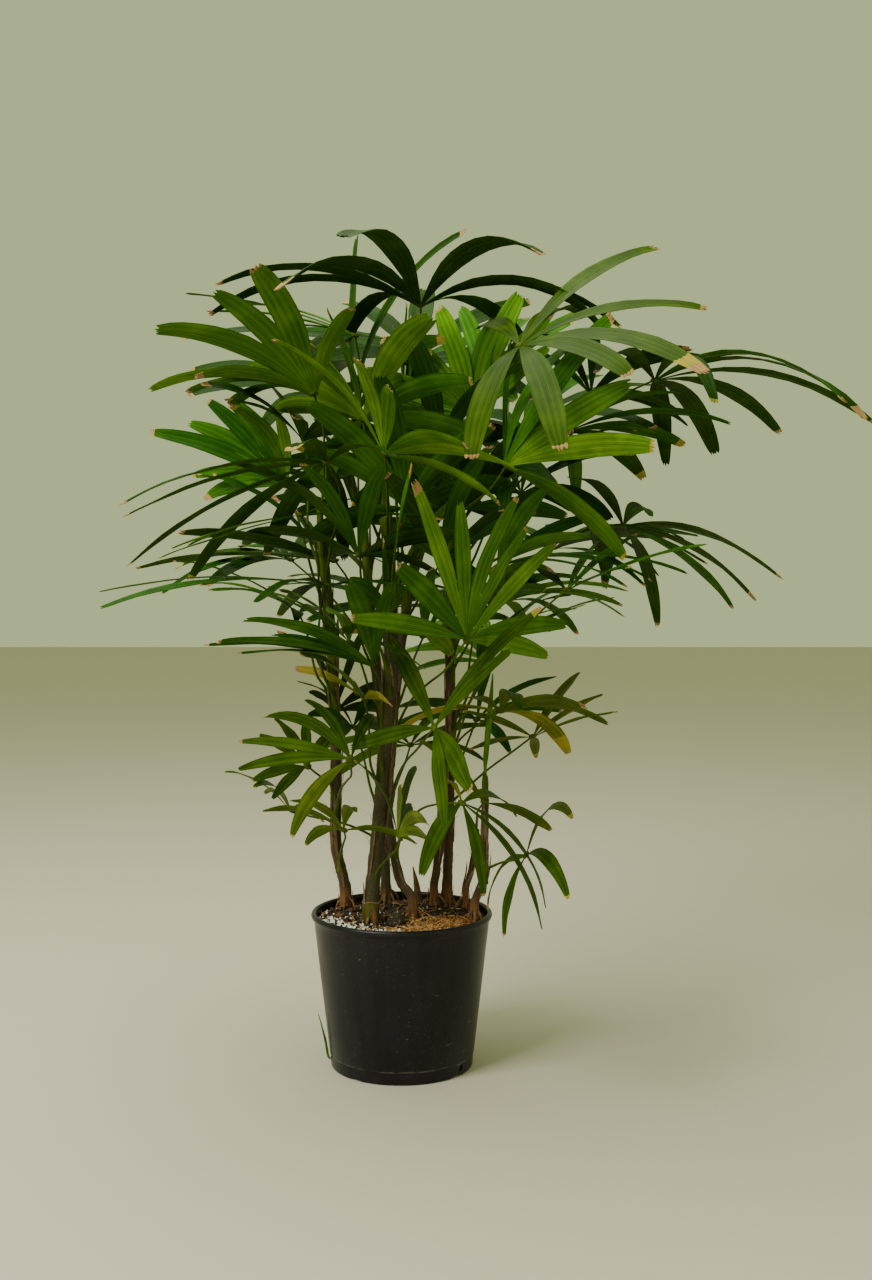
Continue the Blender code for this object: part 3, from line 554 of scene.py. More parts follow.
def leaf_finish(name, colour, gloss, light):
    """A ribbed satin leaf face: lighter along its ribs, partly their paler green and partly a painted
    highlight on the ridges of the pleats, with painted shade in the valleys between the ribs, fine veins
    along it and some cloudy variation.
    """
    finish = Finish(name, Specular_IOR_Level=LEAF_SHEEN, Specular_Tint=LEAF_GLINT)
    along = finish.place(channel="UV")
    cell = finish.add("ShaderNodeMath", {"operation": "FRACT"}, {0: finish.axis(along, "X")})
    off_rib = finish.add("ShaderNodeMath", {"operation": "ABSOLUTE"}, {0: cell - 0.5})
    rib = finish.span(off_rib, 0.0, 0.10, 1.0, 0.0)
    painted_valley_shade = finish.span(off_rib, 0.30, 0.50)
    streak = finish.noise(finish.place((7.0, 1.2, 1.0), "UV"), 1.0, 3.0, 0.6)
    veins = finish.noise(finish.place((22.0, 0.5, 1.0), "UV"), 1.0, 1.0)
    cloud = finish.noise(finish.place(), 22.0, 3.0)
    pale = (colour[0] * 2.2 + 0.012, colour[1] * 1.6 + 0.020, colour[2] * 1.6 + 0.001)
    # dark is the tone of the darker random streaks, and also of the painted shade in the valleys between the
    # ribs
    dark = tuple(part * 0.42 for part in colour)
    shade = finish.mix(finish.span(streak, 0.30, 0.70), dark, colour)
    shade = finish.mix(finish.span(cloud, 0.45, 0.75, 0.0, 0.45), shade, pale)
    # Painted shade: the valleys between the ribs are darkened
    shade = finish.mix(painted_valley_shade * 0.55, shade, dark)
    # Lighter along the ribs: partly their paler green, partly a painted highlight on the ridges of the pleats
    shade = finish.mix(rib * light, shade, pale)
    finish.set(Base_Color=shade, Roughness=finish.span(streak, 0.25, 0.75, gloss - 0.06, gloss + 0.12))
    return finish.bump(veins * 0.35 + rib * 0.65, 0.0006, 0.5).material


def dry_finish(name, edge, inner):
    """The papery end of a leaflet."""
    finish = Finish(name, Roughness=0.75)
    streak = finish.noise(finish.place((9.0, 2.0, 1.0), "UV"), 1.0, 3.0, 0.6)
    finish.set(Base_Color=finish.mix(finish.span(streak, 0.35, 0.65), edge, inner))
    return finish.bump(streak, 0.0005, 0.5).material


def stalk_finish(name, colour, dark):
    """A smooth green stalk, darker in long streaks."""
    finish = Finish(name, Specular_IOR_Level=LEAF_SHEEN)
    streak = finish.noise(finish.place((140.0, 140.0, 9.0)), 1.0, 2.0)
    finish.set(Base_Color=finish.mix(finish.span(streak, 0.3, 0.7), dark, colour),
               Roughness=finish.span(streak, 0.2, 0.8, 0.38, 0.55))
    return finish.bump(streak, 0.0003, 0.4).material


def sheath_finish(name, dark, brown, straw, green, foot):
    """Woven brown fibre over the cane, with straw threads, some green showing through and a rusty foot."""
    finish = Finish(name)
    blotch = finish.noise(finish.place((1.0, 1.0, 0.45)), 38.0, 4.0, 0.65)
    thread = finish.noise(finish.place((12.0, 26.0, 1.0), "UV"), 1.0, 3.0, 0.6)
    left, right = [finish.add("ShaderNodeTexWave", {"bands_direction": "DIAGONAL"},
                              {"Vector": finish.place((across, 34.0, 1.0), "UV"), "Scale": 1.0,
                               "Distortion": 1.5, "Detail": 2.0}, out=1) for across in (9.0, -9.0)]
    weave = left * 0.5 + right * 0.5
    shade = finish.mix(finish.span(blotch, 0.35, 0.65), dark, brown)
    shade = finish.mix(finish.span(blotch, 0.60, 0.78, 0.0, 0.8), shade, green)
    height = finish.axis(finish.place(), "Z") + blotch * 0.06
    low = finish.span(height, SOIL_TOP + 0.034, SOIL_TOP + 0.070, 0.85, 0.0)
    shade = finish.mix(low, shade, foot)
    shade = finish.mix(finish.span(thread, 0.62, 0.74, 0.0, 0.75), shade, straw)
    shade = finish.mix(finish.span(weave, 0.55, 0.95, 0.0, 0.35), shade, straw)
    finish.set(Base_Color=shade, Roughness=finish.span(blotch, 0.3, 0.7, 0.72, 0.92))
    return finish.bump(weave * 0.5 + thread * 0.5, 0.0012, 0.9).material


def fibre_finish(name, pale, deep):
    """Dry fibre, husk or root."""
    finish = Finish(name, Roughness=0.82)
    streak = finish.noise(finish.place((1.0, 1.0, 0.5)), 210.0, 3.0, 0.6)
    finish.set(Base_Color=finish.mix(finish.span(streak, 0.32, 0.68), deep, pale))
    return finish.bump(streak, 0.0005, 0.6).material


def crumb_finish(name, colours, scale, bumps):
    """Crumbs of the mix: a colour that changes from crumb to crumb, and a rough face."""
    finish = Finish(name, Roughness=0.9)
    clump = finish.noise(finish.place(), scale, 4.0, 0.7)
    last = len(colours) - 1
    stops = [(0.36 + 0.30 * i / last, colour) for i, colour in enumerate(colours)]
    finish.set(Base_Color=finish.add("ShaderNodeValToRGB", {"stops": stops}, {0: clump}))
    return finish.bump(finish.noise(finish.place(), scale * 3, 4.0, 0.7), bumps, 0.9).material


def pot_finish():
    """Black moulded plastic: faint upright streaks, dusty speckles and pale scuffs on the foot band."""
    finish = Finish("black_pot_plastic", Specular_IOR_Level=0.26)
    height = finish.axis(finish.place(), "Z")
    cloud = finish.noise(finish.place(), 9.0, 5.0, 0.6)
    streak = finish.noise(finish.place((70.0, 70.0, 2.0)), 1.0, 3.0, 0.6)
    speck = finish.noise(finish.place(), 420.0, 2.0, 0.5)
    rub = finish.noise(finish.place((1.0, 1.0, 6.0)), 46.0, 3.0, 0.7)
    nick = finish.noise(finish.place((40.0, 40.0, 150.0)), 1.0, 2.0, 0.5)
    nicked = finish.span(nick, 0.735, 0.76) * finish.span(cloud, 0.46, 0.56)
    ledge = finish.span(height, 0.0185, 0.0200) * finish.span(height, 0.0214, 0.0228, 1.0, 0.0)
    scuffed = ledge * finish.span(rub, 0.45, 0.60)
    low = finish.span(height, 0.0, 0.075, 1.0, 0.0)
    dusty = finish.span(cloud, 0.45, 0.75) * 0.20 + low * finish.span(rub, 0.40, 0.70) * 0.25
    dots = finish.span(speck, 0.66, 0.72) * finish.span(cloud, 0.38, 0.60)
    shade = finish.mix(finish.span(streak, 0.35, 0.65), (0.0022, 0.0018, 0.0040), (0.0056, 0.0046, 0.0088))
    shade = finish.mix(dusty, shade, (0.023, 0.019, 0.023))
    shade = finish.mix(dots * 0.40, shade, (0.13, 0.12, 0.12))
    shade = finish.mix(scuffed * 0.5, shade, (0.16, 0.15, 0.15))
    shade = finish.mix(nicked * 0.45, shade, (0.16, 0.15, 0.14))
    rough = finish.span(cloud, 0.3, 0.7, 0.26, 0.38) + dusty * 0.35
    finish.set(Base_Color=shade, Roughness=rough)
    return finish.bump(streak * 0.4 + cloud * 0.6, 0.0007, 0.4).material


def stage_finish():
    """The plain pale floor."""
    finish = Finish("pale_floor", Roughness=0.85)
    finish.set(Base_Color=(0.56, 0.52, 0.44, 1.0))
    return finish.material


def alone(thing):
    """Make one object the only selected one."""
    bpy.ops.object.select_all(action="DESELECT")
    thing.select_set(True)
    bpy.context.view_layer.objects.active = thing


def editing(thing):
    """Go into edit mode on one object with nothing selected."""
    alone(thing)
    bpy.ops.object.mode_set(mode="EDIT")
    bpy.ops.mesh.select_mode(type="VERT")
    bpy.ops.mesh.select_all(action="DESELECT")


def done():
    """Leave edit mode."""
    bpy.ops.object.mode_set(mode="OBJECT")
    return bpy.context.object


def pick(test):
    """Select the vertices of the edited mesh whose place passes a test."""
    mesh = bpy.context.object.data
    shape = bmesh.from_edit_mesh(mesh)
    for vert in shape.verts:
        vert.select_set(bool(test(vert.co)))
    shape.select_flush_mode()
    bmesh.update_edit_mesh(mesh)


def pick_edges(test):
    """Select the edges whose two ends pass a test."""
    bpy.ops.mesh.select_mode(type="EDGE")
    mesh = bpy.context.object.data
    shape = bmesh.from_edit_mesh(mesh)
    for edge in shape.edges:
        edge.select_set(bool(test(edge.verts[0].co, edge.verts[1].co)))
    shape.select_flush_mode()
    bmesh.update_edit_mesh(mesh)


def pick_top(thing, sides):
    """Select the flat top of an edited cone with as many sides."""
    bpy.ops.mesh.select_mode(type="FACE")
    shape = bmesh.from_edit_mesh(thing.data)
    for face in shape.faces:
        face.select_set(len(face.verts) == sides and face.normal.z > 0.5)
    bmesh.update_edit_mesh(thing.data)


def finish_modifier(thing, modifier):
    """Apply a modifier."""
    alone(thing)
    bpy.ops.object.modifier_apply(modifier=modifier.name)


def thicken(thing, thickness, slots=0):
    """Give a sheet its wall, with the finish of its lower side as many slots further on."""
    wall = thing.modifiers.new("thickness", "SOLIDIFY")
    wall.thickness = thickness
    wall.offset = 0.0
    wall.material_offset = slots
    wall.material_offset_rim = slots
    finish_modifier(thing, wall)


def settled(name):
    """The piece just added, named, with its place in its mesh."""
    thing = bpy.context.object
    thing.name = name
    thing.data.transform(thing.matrix_world)
    thing.location = (0.0, 0.0, 0.0)
    return thing


def drop(*blanks):
    """Remove the blanks that copies were made from."""
    for blank in blanks:
        bpy.data.objects.remove(blank)


def copy_of(blank, name):
    """A copy with a mesh of its own."""
    thing = bpy.data.objects.new(name, blank.data.copy())
    bpy.context.scene.collection.objects.link(thing)
    return thing


def places(mesh):
    """A mesh's points as an array."""
    found = np.zeros(len(mesh.vertices) * 3, np.float32)
    mesh.vertices.foreach_get("co", found)
    return found.reshape(-1, 3).astype(float)


def put(mesh, points):
    """Set a mesh's points."""
    mesh.vertices.foreach_set("co", np.asarray(points, np.float32).ravel())
    mesh.update()


def joined(things, name):
    """Join pieces into one, with its place in its mesh."""
    bpy.ops.object.select_all(action="DESELECT")
    for thing in things:
        thing.select_set(True)
    bpy.context.view_layer.objects.active = things[0]
    if len(things) > 1:
        bpy.ops.object.join()
    whole = bpy.context.object
    whole.name = name
    whole.data.name = name
    return whole


def paint(thing, *finishes):
    """Give a piece its materials, in the order of its faces' slots."""
    thing.data.materials.clear()
    for finish in finishes:
        thing.data.materials.append(finish)


def smooth(thing, angle=180):
    """Shade smooth, with edges sharper than an angle kept."""
    alone(thing)
    bpy.ops.object.shade_smooth_by_angle(angle=radians(angle))
    return thing


def belongs(piece, slot, *nodes):
    """A finished piece rides on the plant and stands for its nodes."""
    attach(piece, "root")
    if nodes:
        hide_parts(*nodes)


def leaflet_blank(name):
    """A flat leaflet 1 wide and 1 long: pleated along its ribs, and cut to a ragged tip."""
    ribs, end, cuts = LEAF_CUTS[name]
    columns = 2 * ribs
    steps = len(BLADE_ROWS) - 1
    bpy.ops.mesh.primitive_grid_add(x_subdivisions=columns, y_subdivisions=steps, size=1.0,
                                    location=(0.0, 0.5, 0.0), calc_uvs=True)
    thing = settled("leaflet_" + name)
    for corner in thing.data.uv_layers.active.data:
        corner.uv.x *= ribs
    editing(thing)
    near = 0.25 / columns
    for column in range(columns + 1):
        across = column / columns - 0.5
        pick(lambda co: abs(co.x - across) < near)
        rise = RIB_RISE if column % 2 else -RIB_RISE
        bpy.ops.transform.translate(value=(0.0, 0.0, rise if 0 < column < columns else 0.0))
    for row in range(steps, -1, -1):
        share, width = BLADE_ROWS[row]
        width *= 1 + (end - 1) * max(0.0, (share - END_STARTS) / (1 - END_STARTS))
        pick(lambda co: abs(co.y - row / steps) < 0.25 / steps)
        bpy.ops.transform.resize(value=(width, 1.0, 1.0), center_override=(0.0, row / steps, 0.0))
        bpy.ops.transform.translate(value=(0.0, share - row / steps, 0.0))
    last, narrowed = BLADE_ROWS[-1][0], BLADE_ROWS[-1][1] * end
    for column, cut in enumerate(cuts):
        across = (column / columns - 0.5) * narrowed
        pick(lambda co: abs(co.y - last) < 0.005 and abs(co.x - across) < near * narrowed)
        bpy.ops.transform.translate(value=(0.0, cut, 0.0))
    return done()


def bar_blank(name, sides, rings):
    """An upright bar of radius 1 and height 1, with closed ends and rings to bend at."""
    bpy.ops.mesh.primitive_cylinder_add(vertices=sides, radius=1.0, depth=1.0,
                                        location=(0.0, 0.0, 0.5), calc_uvs=True)
    editing(settled(name))
    pick_edges(lambda a, b: abs(a.z - b.z) > 0.5)
    if rings > 1:
        bpy.ops.mesh.subdivide(number_cuts=rings - 1)
    return done()


# A strip of sheath: the share of its length where it starts to narrow, how fast, and the least width
STRIP_POINTS = 0.6
STRIP_NARROWS = 2.3
STRIP_END = 0.06


def strip_blank(name, rows, columns):
    """A flat strip 1 wide and 1 long, pointed at its far end."""
    bpy.ops.mesh.primitive_grid_add(x_subdivisions=columns, y_subdivisions=rows, size=1.0,
                                    location=(0.0, 0.5, 0.0), calc_uvs=True)
    editing(settled(name))
    for row in range(rows + 1):
        share = row / rows
        pick(lambda co: abs(co.y - share) < 0.25 / rows)
        width = 0.75 + 0.25 * sin(pi * min(1.0, share * 1.6))
        if share >= STRIP_POINTS:
            width = max(STRIP_END, 1.0 - STRIP_NARROWS * (share - STRIP_POINTS))
        bpy.ops.transform.resize(value=(width, 1.0, 1.0), center_override=(0.0, share, 0.0))
    return done()


class Rail:
    """A smooth line with a frame that doesn't spin along it."""

    def __init__(self, points):
        self.points = np.array([tuple(point) for point in points], float)
        steps = np.gradient(self.points, axis=0)
        self.ahead = steps / np.linalg.norm(steps, axis=1)[:, None]
        level = (0.0, 1.0, 0.0) if abs(self.ahead[0][1]) < 0.9 else (1.0, 0.0, 0.0)
        first = np.cross(self.ahead[0], level)
        self.side = np.zeros_like(self.points)
        self.side[0] = first / np.linalg.norm(first)
        for i in range(1, len(self.points)):
            turned_side = self.side[i - 1] - self.ahead[i] * np.dot(self.side[i - 1], self.ahead[i])
            self.side[i] = turned_side / np.linalg.norm(turned_side)
        self.other = np.cross(self.ahead, self.side)
        lengths = np.linalg.norm(np.diff(self.points, axis=0), axis=1)
        self.run = np.concatenate([[0.0], np.cumsum(lengths)])
        self.length = self.run[-1]

    def at(self, along):
        """Place, side and other side at distances along the line."""
        return [np.stack([np.interp(along, self.run, values) for values in table.T], axis=-1)
                for table in (self.points, self.side, self.other)]


def around(side, other, reach, turn):
    """Steps out from a rail, by a distance and an angle for each."""
    return side * (reach * np.cos(turn))[:, None] + other * (reach * np.sin(turn))[:, None]


def bend_bar(blank, name, rail, radius, start=0.0, end=None):
    """A copy of a bar along a rail, where radius(along, angle) gives the thickness."""
    thing = copy_of(blank, name)
    points = places(thing.data)
    end = rail.length if end is None else end
    along = start + points[:, 2] * (end - start)
    angle = np.arctan2(points[:, 1], points[:, 0])
    spread = np.hypot(points[:, 0], points[:, 1]) * radius(along, angle)
    middle, side, other = rail.at(along)
    put(thing.data, middle + around(side, other, spread, angle))
    for corner in thing.data.uv_layers.active.data:
        corner.uv.y *= UV_PER_METRE * (end - start)
    return thing


def tapered(*stops):
    """A radius rule from (share, radius) stops for a bar of a given length."""
    def rule(length):
        shares, sizes = zip(*stops)
        return lambda along, angle: np.interp(along / length, shares, sizes)
    return rule


def dense(route, count):
    """A smooth rail through a route's points."""
    knots = [Vector(point) for point in route]
    spacing = sum((b - a).length for a, b in zip(knots, knots[1:])) / count
    return Rail(smooth_route(knots, max(spacing, 1e-4)))


def bend_leaflet(blank, name, at, length, width, rule):
    """A copy of a leaflet along its arc, with its own gutter, twist, sickle, ripple and tip."""
    thing = copy_of(blank, name)
    points = places(thing.data)
    gutter = rule.uniform(*GUTTER)
    twist = radians(rule.uniform(-TWIST, TWIST))
    sickle = rule.uniform(-SICKLE, SICKLE) * length
    phase = rule.uniform(0.0, 2 * pi)
    foot = at(0)
    upright = 1 if foot[2].cross(foot[1]).z > 0 else -1
    last = BLADE_ROWS[-1][0]
    made = []
    for x, y, z in points:
        share = min(1.0, y + (rule.uniform(-TIP_JITTER, TIP_JITTER) if y > last - TIP_ZONE else 0.0))
        place, ahead, across = at(share)
        face = (upright * across.cross(ahead)).normalized()
        spin = Quaternion(ahead.normalized(), twist * share)
        sway, rise = spin @ (upright * across), spin @ face
        wave = RIPPLE * sin(phase + RIPPLE_ALONG * share + RIPPLE_ACROSS * x) * share
        height = (z + gutter * abs(x)) * width * min(1.0, 0.25 + 3 * share) + wave
        made.append(place + sway * (x * width + sickle * share * share) + rise * height)
    put(thing.data, made)
    offset = rule.uniform(0.0, LONGEST_OFFSET)
    for corner in thing.data.uv_layers.active.data:
        corner.uv.y = corner.uv.y * length * UV_PER_METRE + offset
        corner.uv.x += floor(offset) * 8
    return thing


def mark_tip(thing, tan, yellow):
    """Set how many rows of faces at the end are dry, and how many before them are yellow."""
    steps = len(BLADE_ROWS) - 1
    columns = len(thing.data.polygons) // steps
    for number, face in enumerate(thing.data.polygons):
        row = number // columns
        if tan and row >= steps - tan:
            face.material_index = DRY_SLOT
        elif yellow and row >= steps - tan - yellow:
            face.material_index = YELLOW_SLOT


# The main tint of the fronds that aren't forest green. Those of INNER_FRONDS count on from the last
# of FRONDS, as 48 to 69
# Painted light and shade by place: deep is partly painted shade, for fronds in the heart of the crown, at the
# back and low on the left, and partly a darker green; grass and the lightest tint are partly painted light;
# moss, a dull olive green for the low fronds under the crown, is partly painted shade
FROND_MOODS = {
    "deep": (1, 7, 8, 9, 12, 13, 20, 22, 40, 41, 42, 44, 45, 49, 52, 54, 56, 57, 58, 61, 62),
    "fresh": (3, 5, 46),
    "grass": (2, 6, 10, 15, 16, 18, 23, 37, 48, 51, 68, 69),
    "moss": (4, 26, 27, 28, 29, 30, 31, 32, 33, 34, 35, 36, 38, 39, 47),
}

# More fronds in the heart of the crown, for the scene alone. Their columns are those of FRONDS
INNER_FRONDS = [
    Frond("main", 0.80, (-0.060, 0.070, 1.000), 200, 50, 0, 20, 7, 200, 0.22, 0.034, 40, 501),
    Frond("curved", 0.82, (0.040, 0.090, 1.070), 60, 60, 0, 20, 7, 210, 0.20, 0.036, 45, 502),
    Frond("curved", 0.74, (0.060, -0.040, 0.950), -60, 40, 10, 20, 7, 200, 0.22, 0.034, 40, 503),
    Frond("right", 0.84, (0.130, 0.130, 1.060), 45, 50, 0, 15, 7, 200, 0.22, 0.034, 40, 504),
    Frond("right", 0.76, (0.170, 0.060, 0.900), 20, 30, 0, 20, 7, 200, 0.22, 0.030, 45, 505),
    Frond("main", 0.70, (0.010, -0.080, 0.860), -80, 50, 10, 20, 7, 200, 0.21, 0.034, 40, 506),
    Frond("left", 0.74, (-0.150, 0.020, 0.965), 180, 40, 0, 20, 7, 200, 0.22, 0.032, 45, 507),
    Frond("left", 0.64, (-0.130, 0.030, 0.800), 170, 30, 0, 20, 7, 200, 0.21, 0.030, 45, 508),
    Frond("rear", 0.74, (-0.020, 0.190, 0.930), 90, 50, 0, 20, 7, 220, 0.22, 0.034, 45, 509),
    Frond("rear", 0.66, (-0.070, 0.160, 0.840), 130, 40, 0, 20, 7, 200, 0.22, 0.032, 45, 510),
    Frond("main", 0.62, (-0.060, -0.100, 0.790), -130, 40, 0, 20, 7, 200, 0.21, 0.030, 45, 511),
    Frond("curved", 0.62, (0.060, -0.080, 0.780), -60, 50, 0, 20, 7, 200, 0.21, 0.030, 45, 512),
    Frond("right", 0.60, (0.150, -0.020, 0.720), -20, 40, 0, 20, 7, 200, 0.20, 0.028, 45, 513),
    Frond("right", 0.68, (0.190, 0.150, 0.890), 50, 40, 0, 20, 7, 210, 0.22, 0.032, 45, 514),
    Frond("curved", 0.70, (-0.010, 0.060, 0.900), 120, 65, 0, 20, 7, 210, 0.20, 0.034, 45, 515),
    Frond("right", 0.72, (0.090, 0.010, 0.860), -100, 60, 0, 25, 7, 200, 0.20, 0.032, 40, 516),
    Frond("main", 0.40, (-0.075, 0.040, 0.520), 160, 50, 0, 15, 5, 190, 0.15, 0.022, 50, 517),
    Frond("right", 0.42, (0.120, 0.160, 0.520), 60, 40, 0, 15, 6, 200, 0.17, 0.022, 50, 518),
    Frond("left", 0.54, (-0.160, 0.030, 0.700), 175, 25, 0, 15, 6, 190, 0.20, 0.024, 40, 519),
    Frond("right", 0.52, (0.140, 0.050, 0.660), 5, 25, 0, 15, 6, 190, 0.20, 0.024, 40, 520),
    Frond("main", 0.52, (-0.075, -0.060, 0.660), -160, 30, 0, 20, 6, 200, 0.19, 0.026, 40, 521),
    Frond("curved", 0.54, (0.035, -0.070, 0.670), -50, 40, 0, 20, 6, 200, 0.18, 0.026, 40, 522),
]


def mood_of(number):
    """The main tint of a frond."""
    for mood, numbers in FROND_MOODS.items():
        if number in numbers:
            return mood
    return "forest"


def stepped(mood, step):
    """The tint a step lighter or darker than a mood, where it is one of the ladder."""
    if mood not in TINT_LADDER:
        return mood
    return TINT_LADDER[min(len(TINT_LADDER) - 1, max(0, TINT_LADDER.index(mood) + step))]


def grow():
    """Canes, shoots, petioles and leaflets placed by the rule of the solids."""
    filled = Filled()
    guard = [POT_RIM_RADIUS + CLEARANCE] * 2
    filled.add("pot", *sweep([UP * 0.0, UP * (POT_HEIGHT + CLEARANCE)], guard, POT_STEPS))
    for name in CANES:
        filled.add(name, *sweep(*cane_route(name), CANE_SIDES))
    for name, route, radii in shoots():
        filled.add(name, *sweep(route, radii, SHOOT_SIDES))
    grown = []
    for table in (FRONDS, INNER_FRONDS):
        names = [f"frond_{number:02d}" for number, _ in enumerate(table, len(grown) + 1)]
        routes = [place_petiole(name, frond, filled) for name, frond in zip(names, table)]
        for name, frond, route in zip(names, table, routes):
            grown.append((name, frond, route, place_leaflets(name, frond, filled)))
    return grown


def shoots():
    """The small shoots' routes and radii."""
    out = Vector((cos(radians(SPROUT_BEARING)), sin(radians(SPROUT_BEARING)), 0.0))
    sprout = [out * radius + UP * height for radius, height in SPROUT_ROUTE]
    return (("spike_shoot", [Vector(point) for point in SPIKE_ROUTE], SPIKE_RADII),
            ("spear_leaf", [Vector(point) for point in SPEAR_ROUTE], SPEAR_RADII),
            ("drain_sprout", sprout, SPROUT_RADII))


# The tones of leaf ends, and how often a dry end is one or two rows long
LEAF_ENDS = (("yellowing_leaf_end", (0.17, 0.19, 0.006), (0.50, 0.36, 0.015)),
             ("dry_leaf_tip", (0.22, 0.11, 0.030), (0.50, 0.31, 0.115)))
DRY_ROWS = (1, 1, 1, 1, 1, 2)
TINT_STEPS = (-1, 0, 0, 0, 1)
LEAF_SEED = 1000
# The faces' slots: the green one, then the yellow and the dry, each with its lower side after it
YELLOW_SLOT = 2
DRY_SLOT = 4
# The leaflets that are turning: the frond and the place in its fan, then the yellow rows and the dry
TURNING_LEAFLETS = {(27, 5): (6, 2), (27, 0): (3, 1), (39, 3): (5, 2), (29, 0): (0, 1), (39, 0): (4, 2)}


def make_leaflets(grown):
    """All the leaflets, joined by tint."""
    blanks = {name: leaflet_blank(name) for name in LEAF_CUTS}
    ends = [dry_finish(name + side, *tones)
            for name, *tones in LEAF_ENDS for side in ("_upper", "_under")]
    # The paler under tint is partly painted light shining through the leaf
    finishes = {tint: [leaf_finish(f"leaf_{tint}_upper", upper, 0.40, 0.40),
                       leaf_finish(f"leaf_{tint}_under", under, 0.55, 0.35), *ends]
                for tint, (upper, under) in LEAF_TINTS.items()}
    sprays = {tint: ([], set()) for tint in LEAF_TINTS}
    for number, (node, frond, _, chosen) in enumerate(grown, 1):
        rule = random.Random(LEAF_SEED + frond.seed)
        mood = mood_of(number)
        for count, (at, length, width) in enumerate(chosen):
            cut = "broad" if width > BROAD_LEAF else "narrow" if width < NARROW_LEAF else "middle"
            tint = stepped(mood, rule.choice(TINT_STEPS))
            leaf = bend_leaflet(blanks[cut], f"leaflet_{number}_{count}", at, length, width, rule)
            tan = rule.choice(DRY_ROWS) if rule.random() < TAN_TIP_SHARE else 0
            yellow = int(rule.random() < YELLOW_BAND_SHARE)
            if (number, count) in TURNING_LEAFLETS:
                tint = "olive"
                yellow, tan = TURNING_LEAFLETS[number, count]
            paint(leaf, *finishes[tint])
            mark_tip(leaf, tan, yellow)
            sprays[tint][0].append(leaf)
            if number <= len(FRONDS):
                sprays[tint][1].add(node)
    for tint, (leaves, nodes) in sprays.items():
        spray = joined(leaves, "leaflets_" + tint)
        thicken(spray, LEAF_THICKNESS, slots=1)
        belongs(smooth(spray, 75), "frond_green", *sorted(nodes))
    drop(*blanks.values())


# Petioles: how their foot clasps the cane, their thickness from foot to hub, and the knot at the hub
CLASP_DEPTH = 0.9
CLASP_DROP = 0.012
CLASP_RISE = 0.010
PETIOLE_RINGS = 28
PETIOLE_SHAPE = ((0.0, 0.0046), (0.05, 0.0038), (0.16, 0.0023), (0.6, 0.0017), (1.0, 0.0016))
KNOT_SIZE = (0.0070, 0.0070, 0.0034)


def make_petioles(grown):
    """Petioles that widen where they clasp the cane, and the small knot where the leaflets meet."""
    blank = bar_blank("petiole_blank", 8, 16)
    bpy.ops.mesh.primitive_uv_sphere_add(segments=10, ring_count=6, radius=1.0)
    knot = bpy.context.object
    stalks, knots = [], []
    for node, frond, route, _ in grown:
        away = route[1] - route[0]
        away = Vector((away.x, away.y, 0.0)).normalized()
        cane_radius = point_on(frond.cane, frond.height)[1]
        start = route[0] - away * cane_radius * CLASP_DEPTH - UP * CLASP_DROP
        rail = dense([start, route[0] + UP * CLASP_RISE, *route[1:]], PETIOLE_RINGS)
        thickness = tapered(*PETIOLE_SHAPE)(rail.length)
        stalks.append(bend_bar(blank, node + "_petiole", rail, thickness))
        small = copy_of(knot, node + "_knot")
        axes = np.array([tuple(axis) for axis in fan_axes(frond)])
        put(small.data, np.array(tuple(route[-1])) + (places(small.data) * KNOT_SIZE) @ axes)
        knots.append(small)
    drop(blank, knot)
    whole = joined(stalks, "petioles")
    paint(whole, stalk_finish("petiole_green", (0.085, 0.130, 0.008), (0.032, 0.062, 0.004)))
    belongs(smooth(whole, 60), "frond_green", *[node for node, *_ in grown[:len(FRONDS)]])
    crowns = joined(knots, "leaf_knots")
    paint(crowns, stalk_finish("leaf_knot_green", (0.080, 0.115, 0.008), (0.035, 0.062, 0.004)))
    belongs(smooth(crowns, 180), "frond_green")


# Canes: the pitch, slant and lip of the sheaths, their rough fibre, and the flare at the foot
CANE_RINGS = 160
CANE_BARK_SIDES = 24
CANE_ROW = 0.0045
SHEATH_PITCH = 0.034
SHEATH_SLANT = 0.30
SHEATH_LIP = 0.0012
SHEATH_LIP_ENDS = 0.93
SHEATH_FUZZ = 0.0008
SHEATH_EDGE = 0.04
SHEATH_EDGE_GRAIN = 90
SEED_STEP = 1.7
FOOT_FLARE = 0.35
FOOT_FLARE_HEIGHT = 0.016
LOW_FLARE = 0.05
LOW_FLARE_HEIGHT = 0.05
CANE_TAPER = ((0.0, 0.75, 0.93, 1.0), (1.0, 1.0, 0.85, CANE_TIP_TAPER))
# Each cane's sheath, and the height where it gives way to green
CANE_LOOKS = {
    "left": ("brown", 0.535), "main": ("olive", 0.74), "curved": ("brown", 0.70), "rear": ("olive", 0.70),
    "right": ("rust", 0.74), "slim": ("rust", 0.44), "short": ("rust", 0.42), "low": ("rust", 0.33),
}

# Each sheath: its dark, its brown, its straw threads, the green under it and the tone of its foot
SHEATH_TONES = {
    "olive": ((0.010, 0.009, 0.003), (0.058, 0.044, 0.012), (0.190, 0.140, 0.050), (0.066, 0.070, 0.010),
              (0.070, 0.060, 0.014)),
    "brown": ((0.014, 0.009, 0.004), (0.080, 0.048, 0.017), (0.240, 0.160, 0.070), (0.058, 0.056, 0.010),
              (0.230, 0.085, 0.018)),
    "rust": ((0.014, 0.007, 0.004), (0.086, 0.036, 0.014), (0.230, 0.120, 0.050), (0.046, 0.036, 0.010),
             (0.360, 0.135, 0.024)),
}


def cane_rail(name):
    """A cane's middle line."""
    route, _ = cane_route(name)
    return dense([route[0], *route[2:]], CANE_RINGS)


